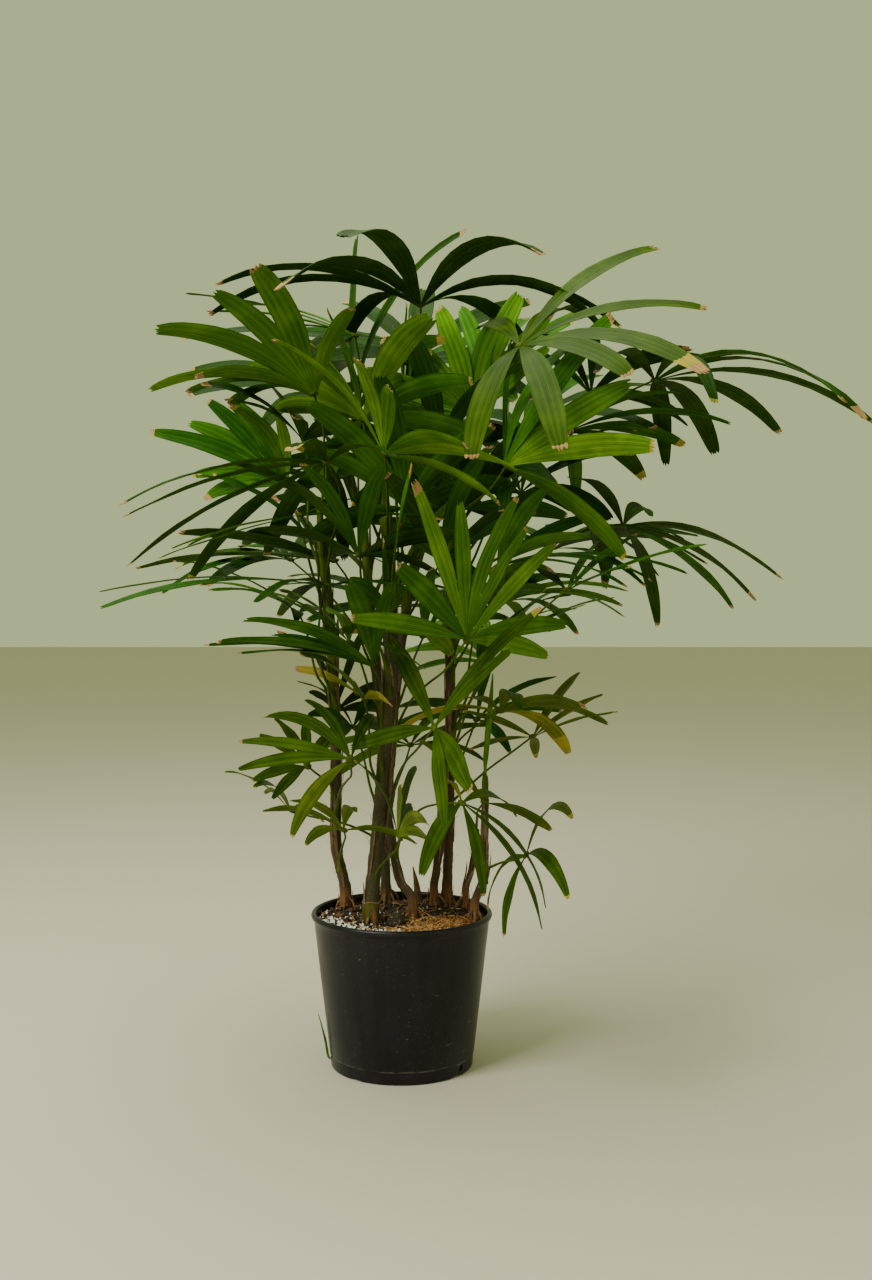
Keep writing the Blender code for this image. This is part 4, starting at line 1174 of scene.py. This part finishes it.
def cane_radius(radius, length, seed, foot):
    """The relief of a sheathed cane: slanting sheath lips and rough fibre."""
    def rule(along, angle):
        phase = along / SHEATH_PITCH + SHEATH_SLANT * np.sin(angle + seed) + seed
        lip = phase - np.floor(phase)
        lip = lip * (1 - np.clip((lip - SHEATH_LIP_ENDS) / (1 - SHEATH_LIP_ENDS), 0, 1))
        flare = foot * np.exp(-along / FOOT_FLARE_HEIGHT) + LOW_FLARE * np.exp(-along / LOW_FLARE_HEIGHT)
        taper = np.interp(along / length, *CANE_TAPER)
        rough = np.array([noise.noise(Vector((6 * cos(a) + seed, 6 * sin(a), 55 * h)))
                          for a, h in zip(angle, along)])
        return radius * taper * (1 + flare) + SHEATH_LIP * lip + SHEATH_FUZZ * rough
    return rule


def make_canes():
    """Canes in brown fibre sheaths, green towards the top, with loose splints and feet of old scales."""
    sheaths = {name: sheath_finish(name + "_fibre_sheath", *tones) for name, tones in SHEATH_TONES.items()}
    green = stalk_finish("green_cane", (0.100, 0.150, 0.010), (0.040, 0.072, 0.005))
    rails = {}
    for number, (name, (radius, _)) in enumerate(CANES.items()):
        rail = cane_rail(name)
        rails[name] = (rail, radius)
        blank = bar_blank("cane_blank", CANE_BARK_SIDES, max(8, round(rail.length / CANE_ROW)))
        foot = 0.0 if name == "main" else FOOT_FLARE
        relief = cane_radius(radius, rail.length, number * SEED_STEP, foot)
        cane = bend_bar(blank, "cane_" + name + "_bark", rail, relief)
        drop(blank)
        look, turns_green = CANE_LOOKS[name]
        paint(cane, sheaths[look], green)
        for face in cane.data.polygons:
            edge = SHEATH_EDGE * noise.noise(face.center * SHEATH_EDGE_GRAIN)
            face.material_index = int(face.center.z + edge > turns_green)
        belongs(smooth(cane, 60), "cane_sheath", "cane_" + name)
    make_splints(rails)
    make_feet(rails)


def lay_strip(blank, name, rail, start, length, width, angle, lift, drift, tilt=0.0):
    """A copy of a strip laid along a rail at an angle round it, lifted more towards its end."""
    thing = copy_of(blank, name)
    points = places(thing.data)
    along = np.clip(start + points[:, 1] * length, 0.0, rail.length)
    middle, side, other = rail.at(along)
    base, rise = lift
    reach = base + rise * points[:, 1] ** 2 + tilt * (1 - points[:, 1])
    turn = angle + drift * points[:, 1] + points[:, 0] * width / base
    put(thing.data, middle + around(side, other, reach, turn))
    return thing


# Dry straps and hairs: how far apart they start along a cane, and their sizes
STRAP_PITCH = 0.030
STRAP_LENGTH = (0.035, 0.110)
STRAP_WIDTH = (0.002, 0.006)
STRAP_BASE = 0.0016
STRAP_LIFT = 0.006
STRAP_DRIFT = 0.6
STRAP_THICKNESS = 0.0005
HAIR_PITCH = 0.011
HAIR_REACH = (0.004, 0.016)
HAIR_SHAPE = ((0.0, 0.0004), (1.0, 0.00015))


def make_splints(rails):
    """Dry straps of old sheath along the canes, and hairs that stand off them."""
    rule = random.Random(41)
    strip = strip_blank("splint_blank", 8, 2)
    hair = bar_blank("hair_blank", 3, 5)
    straps, hairs = [], []
    for rail, radius in rails.values():
        for _ in range(round(rail.length / STRAP_PITCH)):
            start = rule.uniform(0.02, max(0.03, rail.length - 0.10))
            length = rule.uniform(*STRAP_LENGTH)
            width = rule.uniform(*STRAP_WIDTH)
            angle = rule.uniform(-pi, pi)
            lift = (radius + STRAP_BASE, rule.uniform(0.0, STRAP_LIFT))
            drift = rule.uniform(-STRAP_DRIFT, STRAP_DRIFT)
            straps.append(lay_strip(strip, "strap", rail, start, length, width, angle, lift, drift))
        for _ in range(round(rail.length / HAIR_PITCH)):
            start = rule.uniform(0.0, rail.length * 0.8)
            middle, side, other = [Vector(row) for row in rail.at(np.array(start))]
            angle = rule.uniform(-pi, pi)
            out = side * cos(angle) + other * sin(angle)
            first = middle + out * radius * 0.9
            reach = rule.uniform(*HAIR_REACH)
            second = first + out * reach * 0.5 + UP * reach
            third = first + out * reach + UP * rule.uniform(0.4, 1.6) * reach
            path = dense([first, second, third], 6)
            hairs.append(bend_bar(hair, "hair", path, tapered(*HAIR_SHAPE)(path.length)))
    drop(strip, hair)
    whole = joined(straps, "sheath_straps")
    paint(whole, fibre_finish("dry_sheath_strap", (0.230, 0.140, 0.070), (0.060, 0.034, 0.016)))
    thicken(whole, STRAP_THICKNESS)
    belongs(smooth(whole, 50), "cane_sheath")
    fuzz = joined(hairs, "sheath_hairs")
    paint(fuzz, fibre_finish("sheath_hair", (0.180, 0.110, 0.055), (0.050, 0.028, 0.014)))
    belongs(fuzz, "cane_sheath")


# Round the foot of each cane: how many scales and roots it has, and their sizes
FEW_SCALES = 3
MANY_SCALES = 6
SCALE_SPREAD = 1.10
SCALE_BASE = 0.0010
SCALE_LENGTH = (0.010, 0.030)
SCALE_LIFT = 0.0022
SCALE_DRIFT = 0.5
SCALE_TILT = (0.0010, 0.0035)
SCALE_THICKNESS = 0.0007
ROOT_HEIGHT = (0.006, 0.020)
ROOT_REACH = (0.008, 0.020)
ROOT_SIZE = (0.0013, 0.0024)
ROOT_DEPTH = 0.004
ROOT_ARCH = 0.004


def make_feet(rails):
    """Brown scales and stub roots round the foot of each cane."""
    rule = random.Random(97)
    strip = strip_blank("scale_blank", 8, 4)
    root = bar_blank("root_blank", 6, 6)
    scales, roots = [], []
    for name, (rail, radius) in rails.items():
        many = FEW_SCALES if name == "main" else MANY_SCALES
        for number in range(many):
            angle = 2 * pi * (number + rule.uniform(-0.3, 0.3)) / many
            lift = (radius * SCALE_SPREAD + SCALE_BASE, rule.uniform(0.0, SCALE_LIFT))
            length = rule.uniform(*SCALE_LENGTH)
            width = radius * rule.uniform(0.5, 1.0)
            drift = rule.uniform(-SCALE_DRIFT, SCALE_DRIFT)
            scales.append(lay_strip(strip, "scale", rail, 0.0, length, width, angle, lift, drift,
                                    tilt=rule.uniform(*SCALE_TILT)))
            out = Vector((cos(angle + 0.5), sin(angle + 0.5), 0.0))
            middle = Vector(rail.at(np.array(rule.uniform(*ROOT_HEIGHT)))[0])
            reach = radius + rule.uniform(*ROOT_REACH)
            foot = Vector(rail.points[0]) + out * reach
            foot.z = SOIL_TOP - ROOT_DEPTH
            knee = (middle + out * radius * 0.9).lerp(foot, 0.55) + UP * ROOT_ARCH
            path = dense([middle + out * radius * 0.5, knee, foot], 10)
            size = rule.uniform(*ROOT_SIZE)
            shape = tapered((0.0, size), (0.7, size * 0.85), (1.0, size * 0.6))
            roots.append(bend_bar(root, "root", path, shape(path.length)))
    drop(strip, root)
    whole = joined(scales, "foot_scales")
    paint(whole, fibre_finish("brown_foot_scale", (0.250, 0.110, 0.030), (0.070, 0.030, 0.010)))
    thicken(whole, SCALE_THICKNESS)
    belongs(smooth(whole, 50), "cane_sheath")
    stubs = joined(roots, "stub_roots")
    paint(stubs, fibre_finish("stub_root", (0.260, 0.130, 0.055), (0.090, 0.045, 0.022)))
    belongs(smooth(stubs, 60), "cane_sheath")


# Pot: finer than its solid, with the same profile
POT_SIDES = 144
SCALLOP_SIDES = 96
DRAIN_SIDES = 24
CHAMFER_TURNS = (-60, -30, 0)
BEAD_TURNS = range(-80, 181, 20)
BAND_LIP = 0.0004
BAND_LIP_STEP = 0.3
WALL_SHARES = (0.25, 0.5, 0.75, 0.96)
INNER_HEIGHTS = (0.20, 0.12, 0.04, POT_FLOOR)


def pot_profile():
    """The pot's outline from its underside, up the wall, over the rolled rim and down to its floor."""
    bead = (POT_RIM_RADIUS - POT_MOUTH_RADIUS) / 2
    neck = POT_HEIGHT - BEAD_HEIGHT - FOOT_BAND_STEP
    foot = POT_BASE_RADIUS + (POT_NECK_RADIUS - POT_BASE_RADIUS) * FOOT_BAND_HEIGHT / POT_HEIGHT
    outline = [(POT_BASE_RADIUS - FOOT_CHAMFER, 0.0)]
    for turn in CHAMFER_TURNS:
        outline.append((POT_BASE_RADIUS - FOOT_CHAMFER + FOOT_CHAMFER * cos(radians(turn)),
                        FOOT_CHAMFER + FOOT_CHAMFER * sin(radians(turn))))
    outline += [(foot - FOOT_BAND_STEP, FOOT_BAND_HEIGHT),
                (foot - FOOT_BAND_STEP * BAND_LIP_STEP, FOOT_BAND_HEIGHT + BAND_LIP),
                (foot, FOOT_BAND_HEIGHT + FOOT_BAND_STEP)]
    for share in WALL_SHARES:
        height = FOOT_BAND_HEIGHT + FOOT_BAND_STEP + share * (neck - FOOT_BAND_HEIGHT - FOOT_BAND_STEP)
        outline.append((foot + share * (POT_NECK_RADIUS - foot), height))
    outline.append((POT_NECK_RADIUS, neck))
    for turn in BEAD_TURNS:
        outline.append((POT_MOUTH_RADIUS + bead + bead * cos(radians(turn)),
                        POT_HEIGHT - BEAD_HEIGHT / 2 + BEAD_HEIGHT / 2 * sin(radians(turn))))
    for height in INNER_HEIGHTS:
        outline.append((wall_radius(height), height))
    return outline


def make_pot():
    """The moulded pot: one cylinder drawn up and in by rings, then cut at its foot."""
    outline = pot_profile()
    (start, low), (radius, height) = outline[:2]
    bpy.ops.mesh.primitive_cone_add(vertices=POT_SIDES, radius1=start, radius2=radius,
                                    depth=height - low, location=(0.0, 0.0, (height + low) / 2))
    pot = settled("moulded_pot")
    editing(pot)
    pick_top(pot, POT_SIDES)
    for (before, old), (after, new) in zip(outline[1:], outline[2:]):
        bpy.ops.mesh.extrude_region_move(TRANSFORM_OT_translate={"value": (0.0, 0.0, new - old)})
        bpy.ops.transform.resize(value=(after / before, after / before, 1.0),
                                 center_override=(0.0, 0.0, new))
    bpy.ops.mesh.select_all(action="SELECT")
    bpy.ops.mesh.normals_make_consistent(inside=False)
    done()
    for bearings, size, height, sides in (
            (SCALLOP_BEARINGS, SCALLOP_RADIUS, SCALLOP_HEIGHT - SCALLOP_RADIUS, SCALLOP_SIDES),
            (DRAIN_BEARINGS, DRAIN_RADIUS, DRAIN_HEIGHT, DRAIN_SIDES)):
        for bearing in bearings:
            out = Vector((cos(radians(bearing)), sin(radians(bearing)), 0.0))
            bpy.ops.mesh.primitive_cylinder_add(vertices=sides, radius=size, depth=CUTTER_DEPTH,
                                                location=out * POT_BASE_RADIUS + UP * height,
                                                rotation=(0.0, pi / 2, radians(bearing)))
            cutter = bpy.context.object
            hole = pot.modifiers.new("hole", "BOOLEAN")
            hole.operation = "DIFFERENCE"
            hole.object = cutter
            hole.solver = "EXACT"
            finish_modifier(pot, hole)
            drop(cutter)
    paint(pot, pot_finish())
    belongs(smooth(pot, 40), "pot_plastic", "pot")


# Potting mix: its rings and the height of its lumps
MIX_RINGS = 34
MIX_SIDES = 110
MIX_LUMPS = 0.0045
MIX_EDGE = 0.02
MIX_MIDDLE = SOIL_TOP - 0.0030
MIX_EDGE_DROP = 0.0015
MIX_START = SOIL_TOP - 0.006
MIX_LOWEST = SOIL_TOP - 0.010


def mix_height(x, y):
    """The height of the mix at a place."""
    rough = noise.fractal(Vector((x * 26, y * 26, 3.1)), 0.9, 2.1, 3)
    fine = noise.noise(Vector((x * 150, y * 150, 7.7)))
    edge = min(1.0, max(0.0, (wall_radius(SOIL_TOP) - hypot(x, y)) / MIX_EDGE))
    return MIX_MIDDLE + MIX_LUMPS * (0.55 * rough + 0.25 * fine) * edge - MIX_EDGE_DROP * (1 - edge)


def make_mix():
    """The potting mix: a solid disc with a lumpy top, drawn inwards ring by ring."""
    bottom = POT_FLOOR + 2 * GAP
    low, high = wall_radius(bottom) - 2 * GAP, wall_radius(SOIL_TOP) - 2 * GAP
    bpy.ops.mesh.primitive_cone_add(vertices=MIX_SIDES, radius1=low, radius2=high,
                                    depth=MIX_START - bottom,
                                    location=(0.0, 0.0, (MIX_START + bottom) / 2))
    mix = settled("potting_mix")
    editing(mix)
    pick_top(mix, MIX_SIDES)
    for _ in range(MIX_RINGS):
        bpy.ops.mesh.inset(thickness=high / (MIX_RINGS + 1), depth=0.0)
    bpy.ops.mesh.poke()
    done()
    for vert in mix.data.vertices:
        if vert.co.z > MIX_LOWEST:
            vert.co.z = mix_height(vert.co.x, vert.co.y)
    mix.data.update()
    paint(mix, crumb_finish("dark_potting_mix", [(0.004, 0.003, 0.002), (0.014, 0.008, 0.005),
                                                 (0.050, 0.026, 0.012), (0.130, 0.062, 0.024)], 120.0, 0.004))
    belongs(smooth(mix, 180), "potting_mix", "soil")


# Litter on the mix: its room at the wall, and how high a crumb sits, as a share of its size
WALL_ROOM = 0.004
CRUMB_SITS = 0.28


def pebble_blank(name, flat, seed):
    """A rough crumb about 1 across."""
    bpy.ops.mesh.primitive_ico_sphere_add(subdivisions=1, radius=0.5)
    thing = bpy.context.object
    thing.name = name
    rule = random.Random(seed)
    for vert in thing.data.vertices:
        vert.co = Vector((vert.co.x * rule.uniform(0.7, 1.3), vert.co.y * rule.uniform(0.6, 1.2),
                          vert.co.z * flat * rule.uniform(0.7, 1.3)))
    return thing


def scatter(blank, name, count, rule, where, size):
    """Copies of a crumb on the mix, turned every way."""
    crumbs = []
    base = places(blank.data)
    while len(crumbs) < count:
        x, y = where(rule)
        if hypot(x, y) > wall_radius(SOIL_TOP) - WALL_ROOM:
            continue
        small = rule.uniform(*size)
        hinge = [rule.uniform(-1, 1) for _ in range(3)]
        spin = np.array(Quaternion(hinge, rule.uniform(0, pi)).to_matrix())
        crumb = copy_of(blank, name)
        centre = np.array((x, y, mix_height(x, y) + small * CRUMB_SITS))
        put(crumb.data, (base * small) @ spin.T + centre)
        crumbs.append(crumb)
    return joined(crumbs, name)


def round_place(rule, reach=0.126):
    """Anywhere on the mix."""
    angle, out = rule.uniform(-pi, pi), reach * rule.random() ** 0.5
    return out * cos(angle), out * sin(angle)


def heap(bearing, spread, reach, depth):
    """A rule for places near a bearing, thickest at a reach and thinner inwards."""
    def where(rule):
        turn = radians(rule.gauss(bearing, spread))
        out = reach - abs(rule.gauss(0.0, depth))
        return out * cos(turn), out * sin(turn)
    return where


# The perlite lies in front on the left, thick against the wall of the pot, the dry root fibre in
# front, right of the middle, and the coarse husk in front on the far right
near_front_left = heap(-120, 26, 0.130, 0.020)
near_front_right = heap(-64, 15, 0.122, 0.030)
near_right = heap(-36, 14, 0.120, 0.024)

# Each kind of litter: its piece, finish and blank, how many, where and how large, its tones, and
# the grain of its colour
LITTER = (
    ("bark_flakes", "bark_flake", "flake", 420, round_place, (0.003, 0.010),
     [(0.020, 0.010, 0.005), (0.080, 0.036, 0.014), (0.190, 0.085, 0.030)], 70.0),
    ("dark_crumbs", "dark_crumb", "pebble", 420, round_place, (0.002, 0.006),
     [(0.006, 0.004, 0.003), (0.022, 0.013, 0.008), (0.050, 0.028, 0.014)], 90.0),
    ("orange_husk", "orange_husk", "flake", 230, near_right, (0.004, 0.014),
     [(0.036, 0.014, 0.005), (0.200, 0.075, 0.016), (0.500, 0.210, 0.045)], 150.0),
)
CRUMB_RELIEF = 0.0012


def make_litter():
    """Perlite, bark, crumbs and husk on the mix, and the dry root fibre."""
    rule = random.Random(7)
    blanks = {"pebble": pebble_blank("pebble_blank", 0.85, 3), "flake": pebble_blank("flake_blank", 0.35, 4)}
    thick = scatter(blanks["pebble"], "perlite", 1050, rule, near_front_left, (0.0018, 0.0052))
    thin = scatter(blanks["pebble"], "perlite_more", 170, rule, round_place, (0.0010, 0.0030))
    perlite = joined([thick, thin], "perlite")
    paint(perlite, crumb_finish("white_perlite", [(0.72, 0.70, 0.64), (0.90, 0.89, 0.86)], 300.0, 0.0006))
    belongs(smooth(perlite, 50), "potting_mix")
    for name, finish, blank, count, where, size, tones, grain in LITTER:
        crumbs = scatter(blanks[blank], name, count, rule, where, size)
        paint(crumbs, crumb_finish(finish, tones, grain, CRUMB_RELIEF))
        belongs(smooth(crumbs, 40), "potting_mix")
    drop(*blanks.values())
    make_fibres(rule)


# Dry root fibre: how many, their length and thickness, and how high the raised ones stand
FIBRES = 360
FIBRE_LENGTH = (0.012, 0.040)
FIBRE_SIZE = (0.0005, 0.0013)
FIBRE_STANDS = 0.012
FIBRE_LIFT = (0.0005, 0.0040)
FIBRE_TOP = POT_HEIGHT + 0.006


def make_fibres(rule):
    """Dry root fibre, most of it in front on the right, and half of it standing up at one end."""
    blank = bar_blank("fibre_blank", 4, 6)
    fibres = []
    for number in range(FIBRES):
        x, y = (near_front_right if number % 5 else round_place)(rule)
        bearing = rule.uniform(-pi, pi)
        length = rule.uniform(*FIBRE_LENGTH)
        stands = rule.uniform(0.0, FIBRE_STANDS) if number % 2 else 0.0
        steps = []
        for share in (-0.5, 0.0, 0.5):
            across = x + cos(bearing + share * 0.5) * length * share
            back = y + sin(bearing + share * 0.5) * length * share
            short = min(1.0, (wall_radius(SOIL_TOP) - WALL_ROOM) / max(1e-6, hypot(across, back)))
            across, back = across * short, back * short
            lift = rule.uniform(*FIBRE_LIFT) + stands * (share + 0.5)
            steps.append(Vector((across, back, min(mix_height(across, back) + lift, FIBRE_TOP))))
        path = dense(steps, 8)
        size = rule.uniform(*FIBRE_SIZE)
        shape = tapered((0.0, size * 0.5), (0.4, size), (1.0, size * 0.3))
        fibres.append(bend_bar(blank, "fibre", path, shape(path.length)))
    drop(blank)
    whole = joined(fibres, "root_fibres")
    paint(whole, fibre_finish("root_fibre", (0.700, 0.400, 0.120), (0.150, 0.052, 0.012)))
    belongs(smooth(whole, 60), "potting_mix")


# The old stump's middle and size, and the green foot of the main cane with the ring above it
STUMP_PLACE = (-0.006, -0.058, SOIL_TOP + 0.005)
STUMP_SIZE = (0.0135, 0.0125, 0.0145)
GREEN_FOOT_HEIGHT = 0.030
GREEN_FOOT_SHAPE = ((0.0, 1.16), (0.35, 1.26), (0.8, 1.24), (1.0, 1.14))
RING_REACH = 1.20
RING_RADIUS = 0.0009
RING_WAVES = 3
RING_WAVE = 0.0012


def make_stump():
    """The dark stump of an old cane."""
    bpy.ops.mesh.primitive_uv_sphere_add(segments=28, ring_count=18, radius=1.0)
    stump = settled("old_stump")
    for vert in stump.data.vertices:
        rough = 1 + 0.10 * noise.noise(vert.co * 5) + 0.05 * noise.noise(vert.co * 13)
        vert.co = [middle + part * size * rough
                   for middle, part, size in zip(STUMP_PLACE, vert.co, STUMP_SIZE)]
    stump.data.update()
    tones = [(0.006, 0.004, 0.003), (0.030, 0.020, 0.010), (0.040, 0.026, 0.012), (0.300, 0.240, 0.150)]
    paint(stump, crumb_finish("old_stump", tones, 260.0, 0.0015))
    belongs(smooth(stump, 180), "cane_sheath")


def make_main_foot():
    """The smooth green foot of the main cane, with its ring."""
    radius = CANES["main"][0]
    rail = cane_rail("main")
    blank = bar_blank("foot_blank", 28, 14)
    shape = tapered(*[(share, radius * size) for share, size in GREEN_FOOT_SHAPE])
    foot = bend_bar(blank, "main_cane_foot", rail, shape(GREEN_FOOT_HEIGHT), end=GREEN_FOOT_HEIGHT)
    drop(blank)
    paint(foot, stalk_finish("olive_cane_foot", (0.120, 0.120, 0.022), (0.055, 0.052, 0.010)))
    belongs(smooth(foot, 180), "cane_sheath")
    centre = Vector(rail.at(np.array(GREEN_FOOT_HEIGHT))[0])
    bpy.ops.mesh.primitive_torus_add(major_segments=48, minor_segments=8, location=centre,
                                     major_radius=radius * RING_REACH, minor_radius=RING_RADIUS)
    ring = settled("main_cane_ring")
    for vert in ring.data.vertices:
        bearing = atan2(vert.co.y - centre.y, vert.co.x - centre.x)
        vert.co.z += RING_WAVE * sin(RING_WAVES * bearing)
    paint(ring, fibre_finish("tan_ring", (0.330, 0.230, 0.110), (0.180, 0.110, 0.050)))
    belongs(smooth(ring, 180), "cane_sheath")


# Shoots: the pleats of the folded ones, and the sprout's blades, each with the share of the sprout
# where it starts, how far it leans, its length and its width
SHOOT_RINGS = 40
PLEATS = 5
PLEAT_DEPTH = 0.10
PLEAT_TURNS = 40
SPROUT_BLADES = ((0.30, 0.004, 0.040, 0.0056), (0.15, -0.004, 0.034, 0.0050))
SPROUT_BLADE_THICKNESS = 0.0006


def shoot_radius(length, route, radii, pleats):
    """A shoot's thickness along it, with pleats that wind round it."""
    runs = [0.0]
    for a, b in zip(route, route[1:]):
        runs.append(runs[-1] + (b - a).length)

    def rule(along, angle):
        base = np.interp(along / length * runs[-1], runs, radii)
        return base * (1 + pleats * np.cos(PLEATS * angle + PLEAT_TURNS * along))
    return rule


def make_shoots():
    """The pointed spike, the unopened leaf and the sprout from the drain hole."""
    blank = bar_blank("shoot_blank", 16, 24)
    husk = fibre_finish("spike_husk", (0.210, 0.120, 0.050), (0.060, 0.032, 0.014))
    spear = stalk_finish("spear_green", (0.110, 0.240, 0.022), (0.055, 0.140, 0.012))
    sprout = stalk_finish("sprout_green", (0.120, 0.230, 0.030), (0.060, 0.130, 0.016))
    looks = {"spike_shoot": (husk, "cane_sheath", PLEAT_DEPTH),
             "spear_leaf": (spear, "young_leaf", PLEAT_DEPTH),
             "drain_sprout": (sprout, "young_leaf", 0.0)}
    rails = {}
    for name, route, radii in shoots():
        finish, slot, pleats = looks[name]
        rail = rails[name] = dense(route, SHOOT_RINGS)
        shoot = bend_bar(blank, name + "_fine", rail, shoot_radius(rail.length, route, radii, pleats))
        paint(shoot, finish)
        belongs(smooth(shoot, 60), slot, name)
    drop(blank)
    make_sprout_blades(rails["drain_sprout"], sprout)


def make_sprout_blades(rail, finish):
    """Two narrow blades that open from the sprout."""
    strip = strip_blank("sprout_blank", 10, 2)
    level = np.array((0.0, 1.0, 0.0))
    blades = []
    for start, lean, length, width in SPROUT_BLADES:
        thing = copy_of(strip, "sprout_blade")
        points = places(thing.data)
        along = rail.length * start + points[:, 1] * length
        middle = rail.at(np.minimum(along, rail.length))[0]
        rise = np.maximum(0.0, along - rail.length)[:, None] * np.array(UP)
        put(thing.data, middle + rise + level * (points[:, 0] * width)[:, None]
            + level * lean * (points[:, 1] ** 1.5)[:, None])
        blades.append(thing)
    drop(strip)
    whole = joined(blades, "sprout_blades")
    paint(whole, finish)
    thicken(whole, SPROUT_BLADE_THICKNESS)
    belongs(smooth(whole, 60), "young_leaf")


# Camera, as the photograph was taken, and the studio
CAMERA_PLACE = (0.053, -2.449, 0.8075)
CAMERA_DIP = 3.46
CAMERA_LENS = 45.0
SENSOR_WIDTH = 36.0
FLOOR_SIZE = 14.0
FLOOR_PLACE = (0.0, 3.0, 0.0)
LAMP_TARGET = (0.0, 0.0, 0.6)
STUDIO_TONE = (0.78, 0.90, 0.44)
STUDIO_LIGHT = 0.64
LAMPS = (
    ("key", (-1.9, -2.0, 2.9), 1.5, 125.0, (1.0, 0.96, 0.86)),
    ("fill", (2.4, -2.2, 1.6), 2.4, 8.0, (1.0, 0.99, 0.94)),
    ("top", (-0.4, 0.4, 3.2), 2.2, 62.0, (1.0, 0.98, 0.88)),
)


def make_stage():
    """A plain pale floor, soft lamps and the camera."""
    bpy.ops.mesh.primitive_plane_add(size=FLOOR_SIZE, location=FLOOR_PLACE)
    ground = bpy.context.object
    ground.name = "floor"
    paint(ground, stage_finish())
    for name, place, size, power, colour in LAMPS:
        lamp = bpy.data.lights.new(name, "AREA")
        lamp.size = size
        lamp.energy = power
        lamp.color = colour
        thing = bpy.data.objects.new(name, lamp)
        bpy.context.scene.collection.objects.link(thing)
        thing.location = place
        aim = Vector(LAMP_TARGET) - Vector(place)
        thing.rotation_euler = aim.to_track_quat("-Z", "Y").to_euler()
    world = bpy.data.worlds.new("studio")
    bpy.context.scene.world = world
    world.use_nodes = True
    sky = world.node_tree.nodes["Background"]
    sky.inputs["Color"].default_value = (*STUDIO_TONE, 1.0)
    sky.inputs["Strength"].default_value = STUDIO_LIGHT
    eye = bpy.data.cameras.new("photo_camera")
    eye.lens = CAMERA_LENS
    eye.sensor_width = SENSOR_WIDTH
    camera = bpy.data.objects.new("photo_camera", eye)
    bpy.context.scene.collection.objects.link(camera)
    camera.location = CAMERA_PLACE
    camera.rotation_euler = (radians(90 - CAMERA_DIP), 0.0, 0.0)
    bpy.context.scene.camera = camera


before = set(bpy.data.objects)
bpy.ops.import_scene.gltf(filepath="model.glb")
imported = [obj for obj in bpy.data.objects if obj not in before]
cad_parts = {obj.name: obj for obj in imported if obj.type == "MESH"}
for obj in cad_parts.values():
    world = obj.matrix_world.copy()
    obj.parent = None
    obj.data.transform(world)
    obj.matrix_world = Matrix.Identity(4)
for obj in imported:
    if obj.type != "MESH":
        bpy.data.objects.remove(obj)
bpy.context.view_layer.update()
make_stage()
grown = grow()
make_leaflets(grown)
make_petioles(grown)
make_canes()
make_pot()
make_mix()
make_litter()
make_stump()
make_main_foot()
make_shoots()
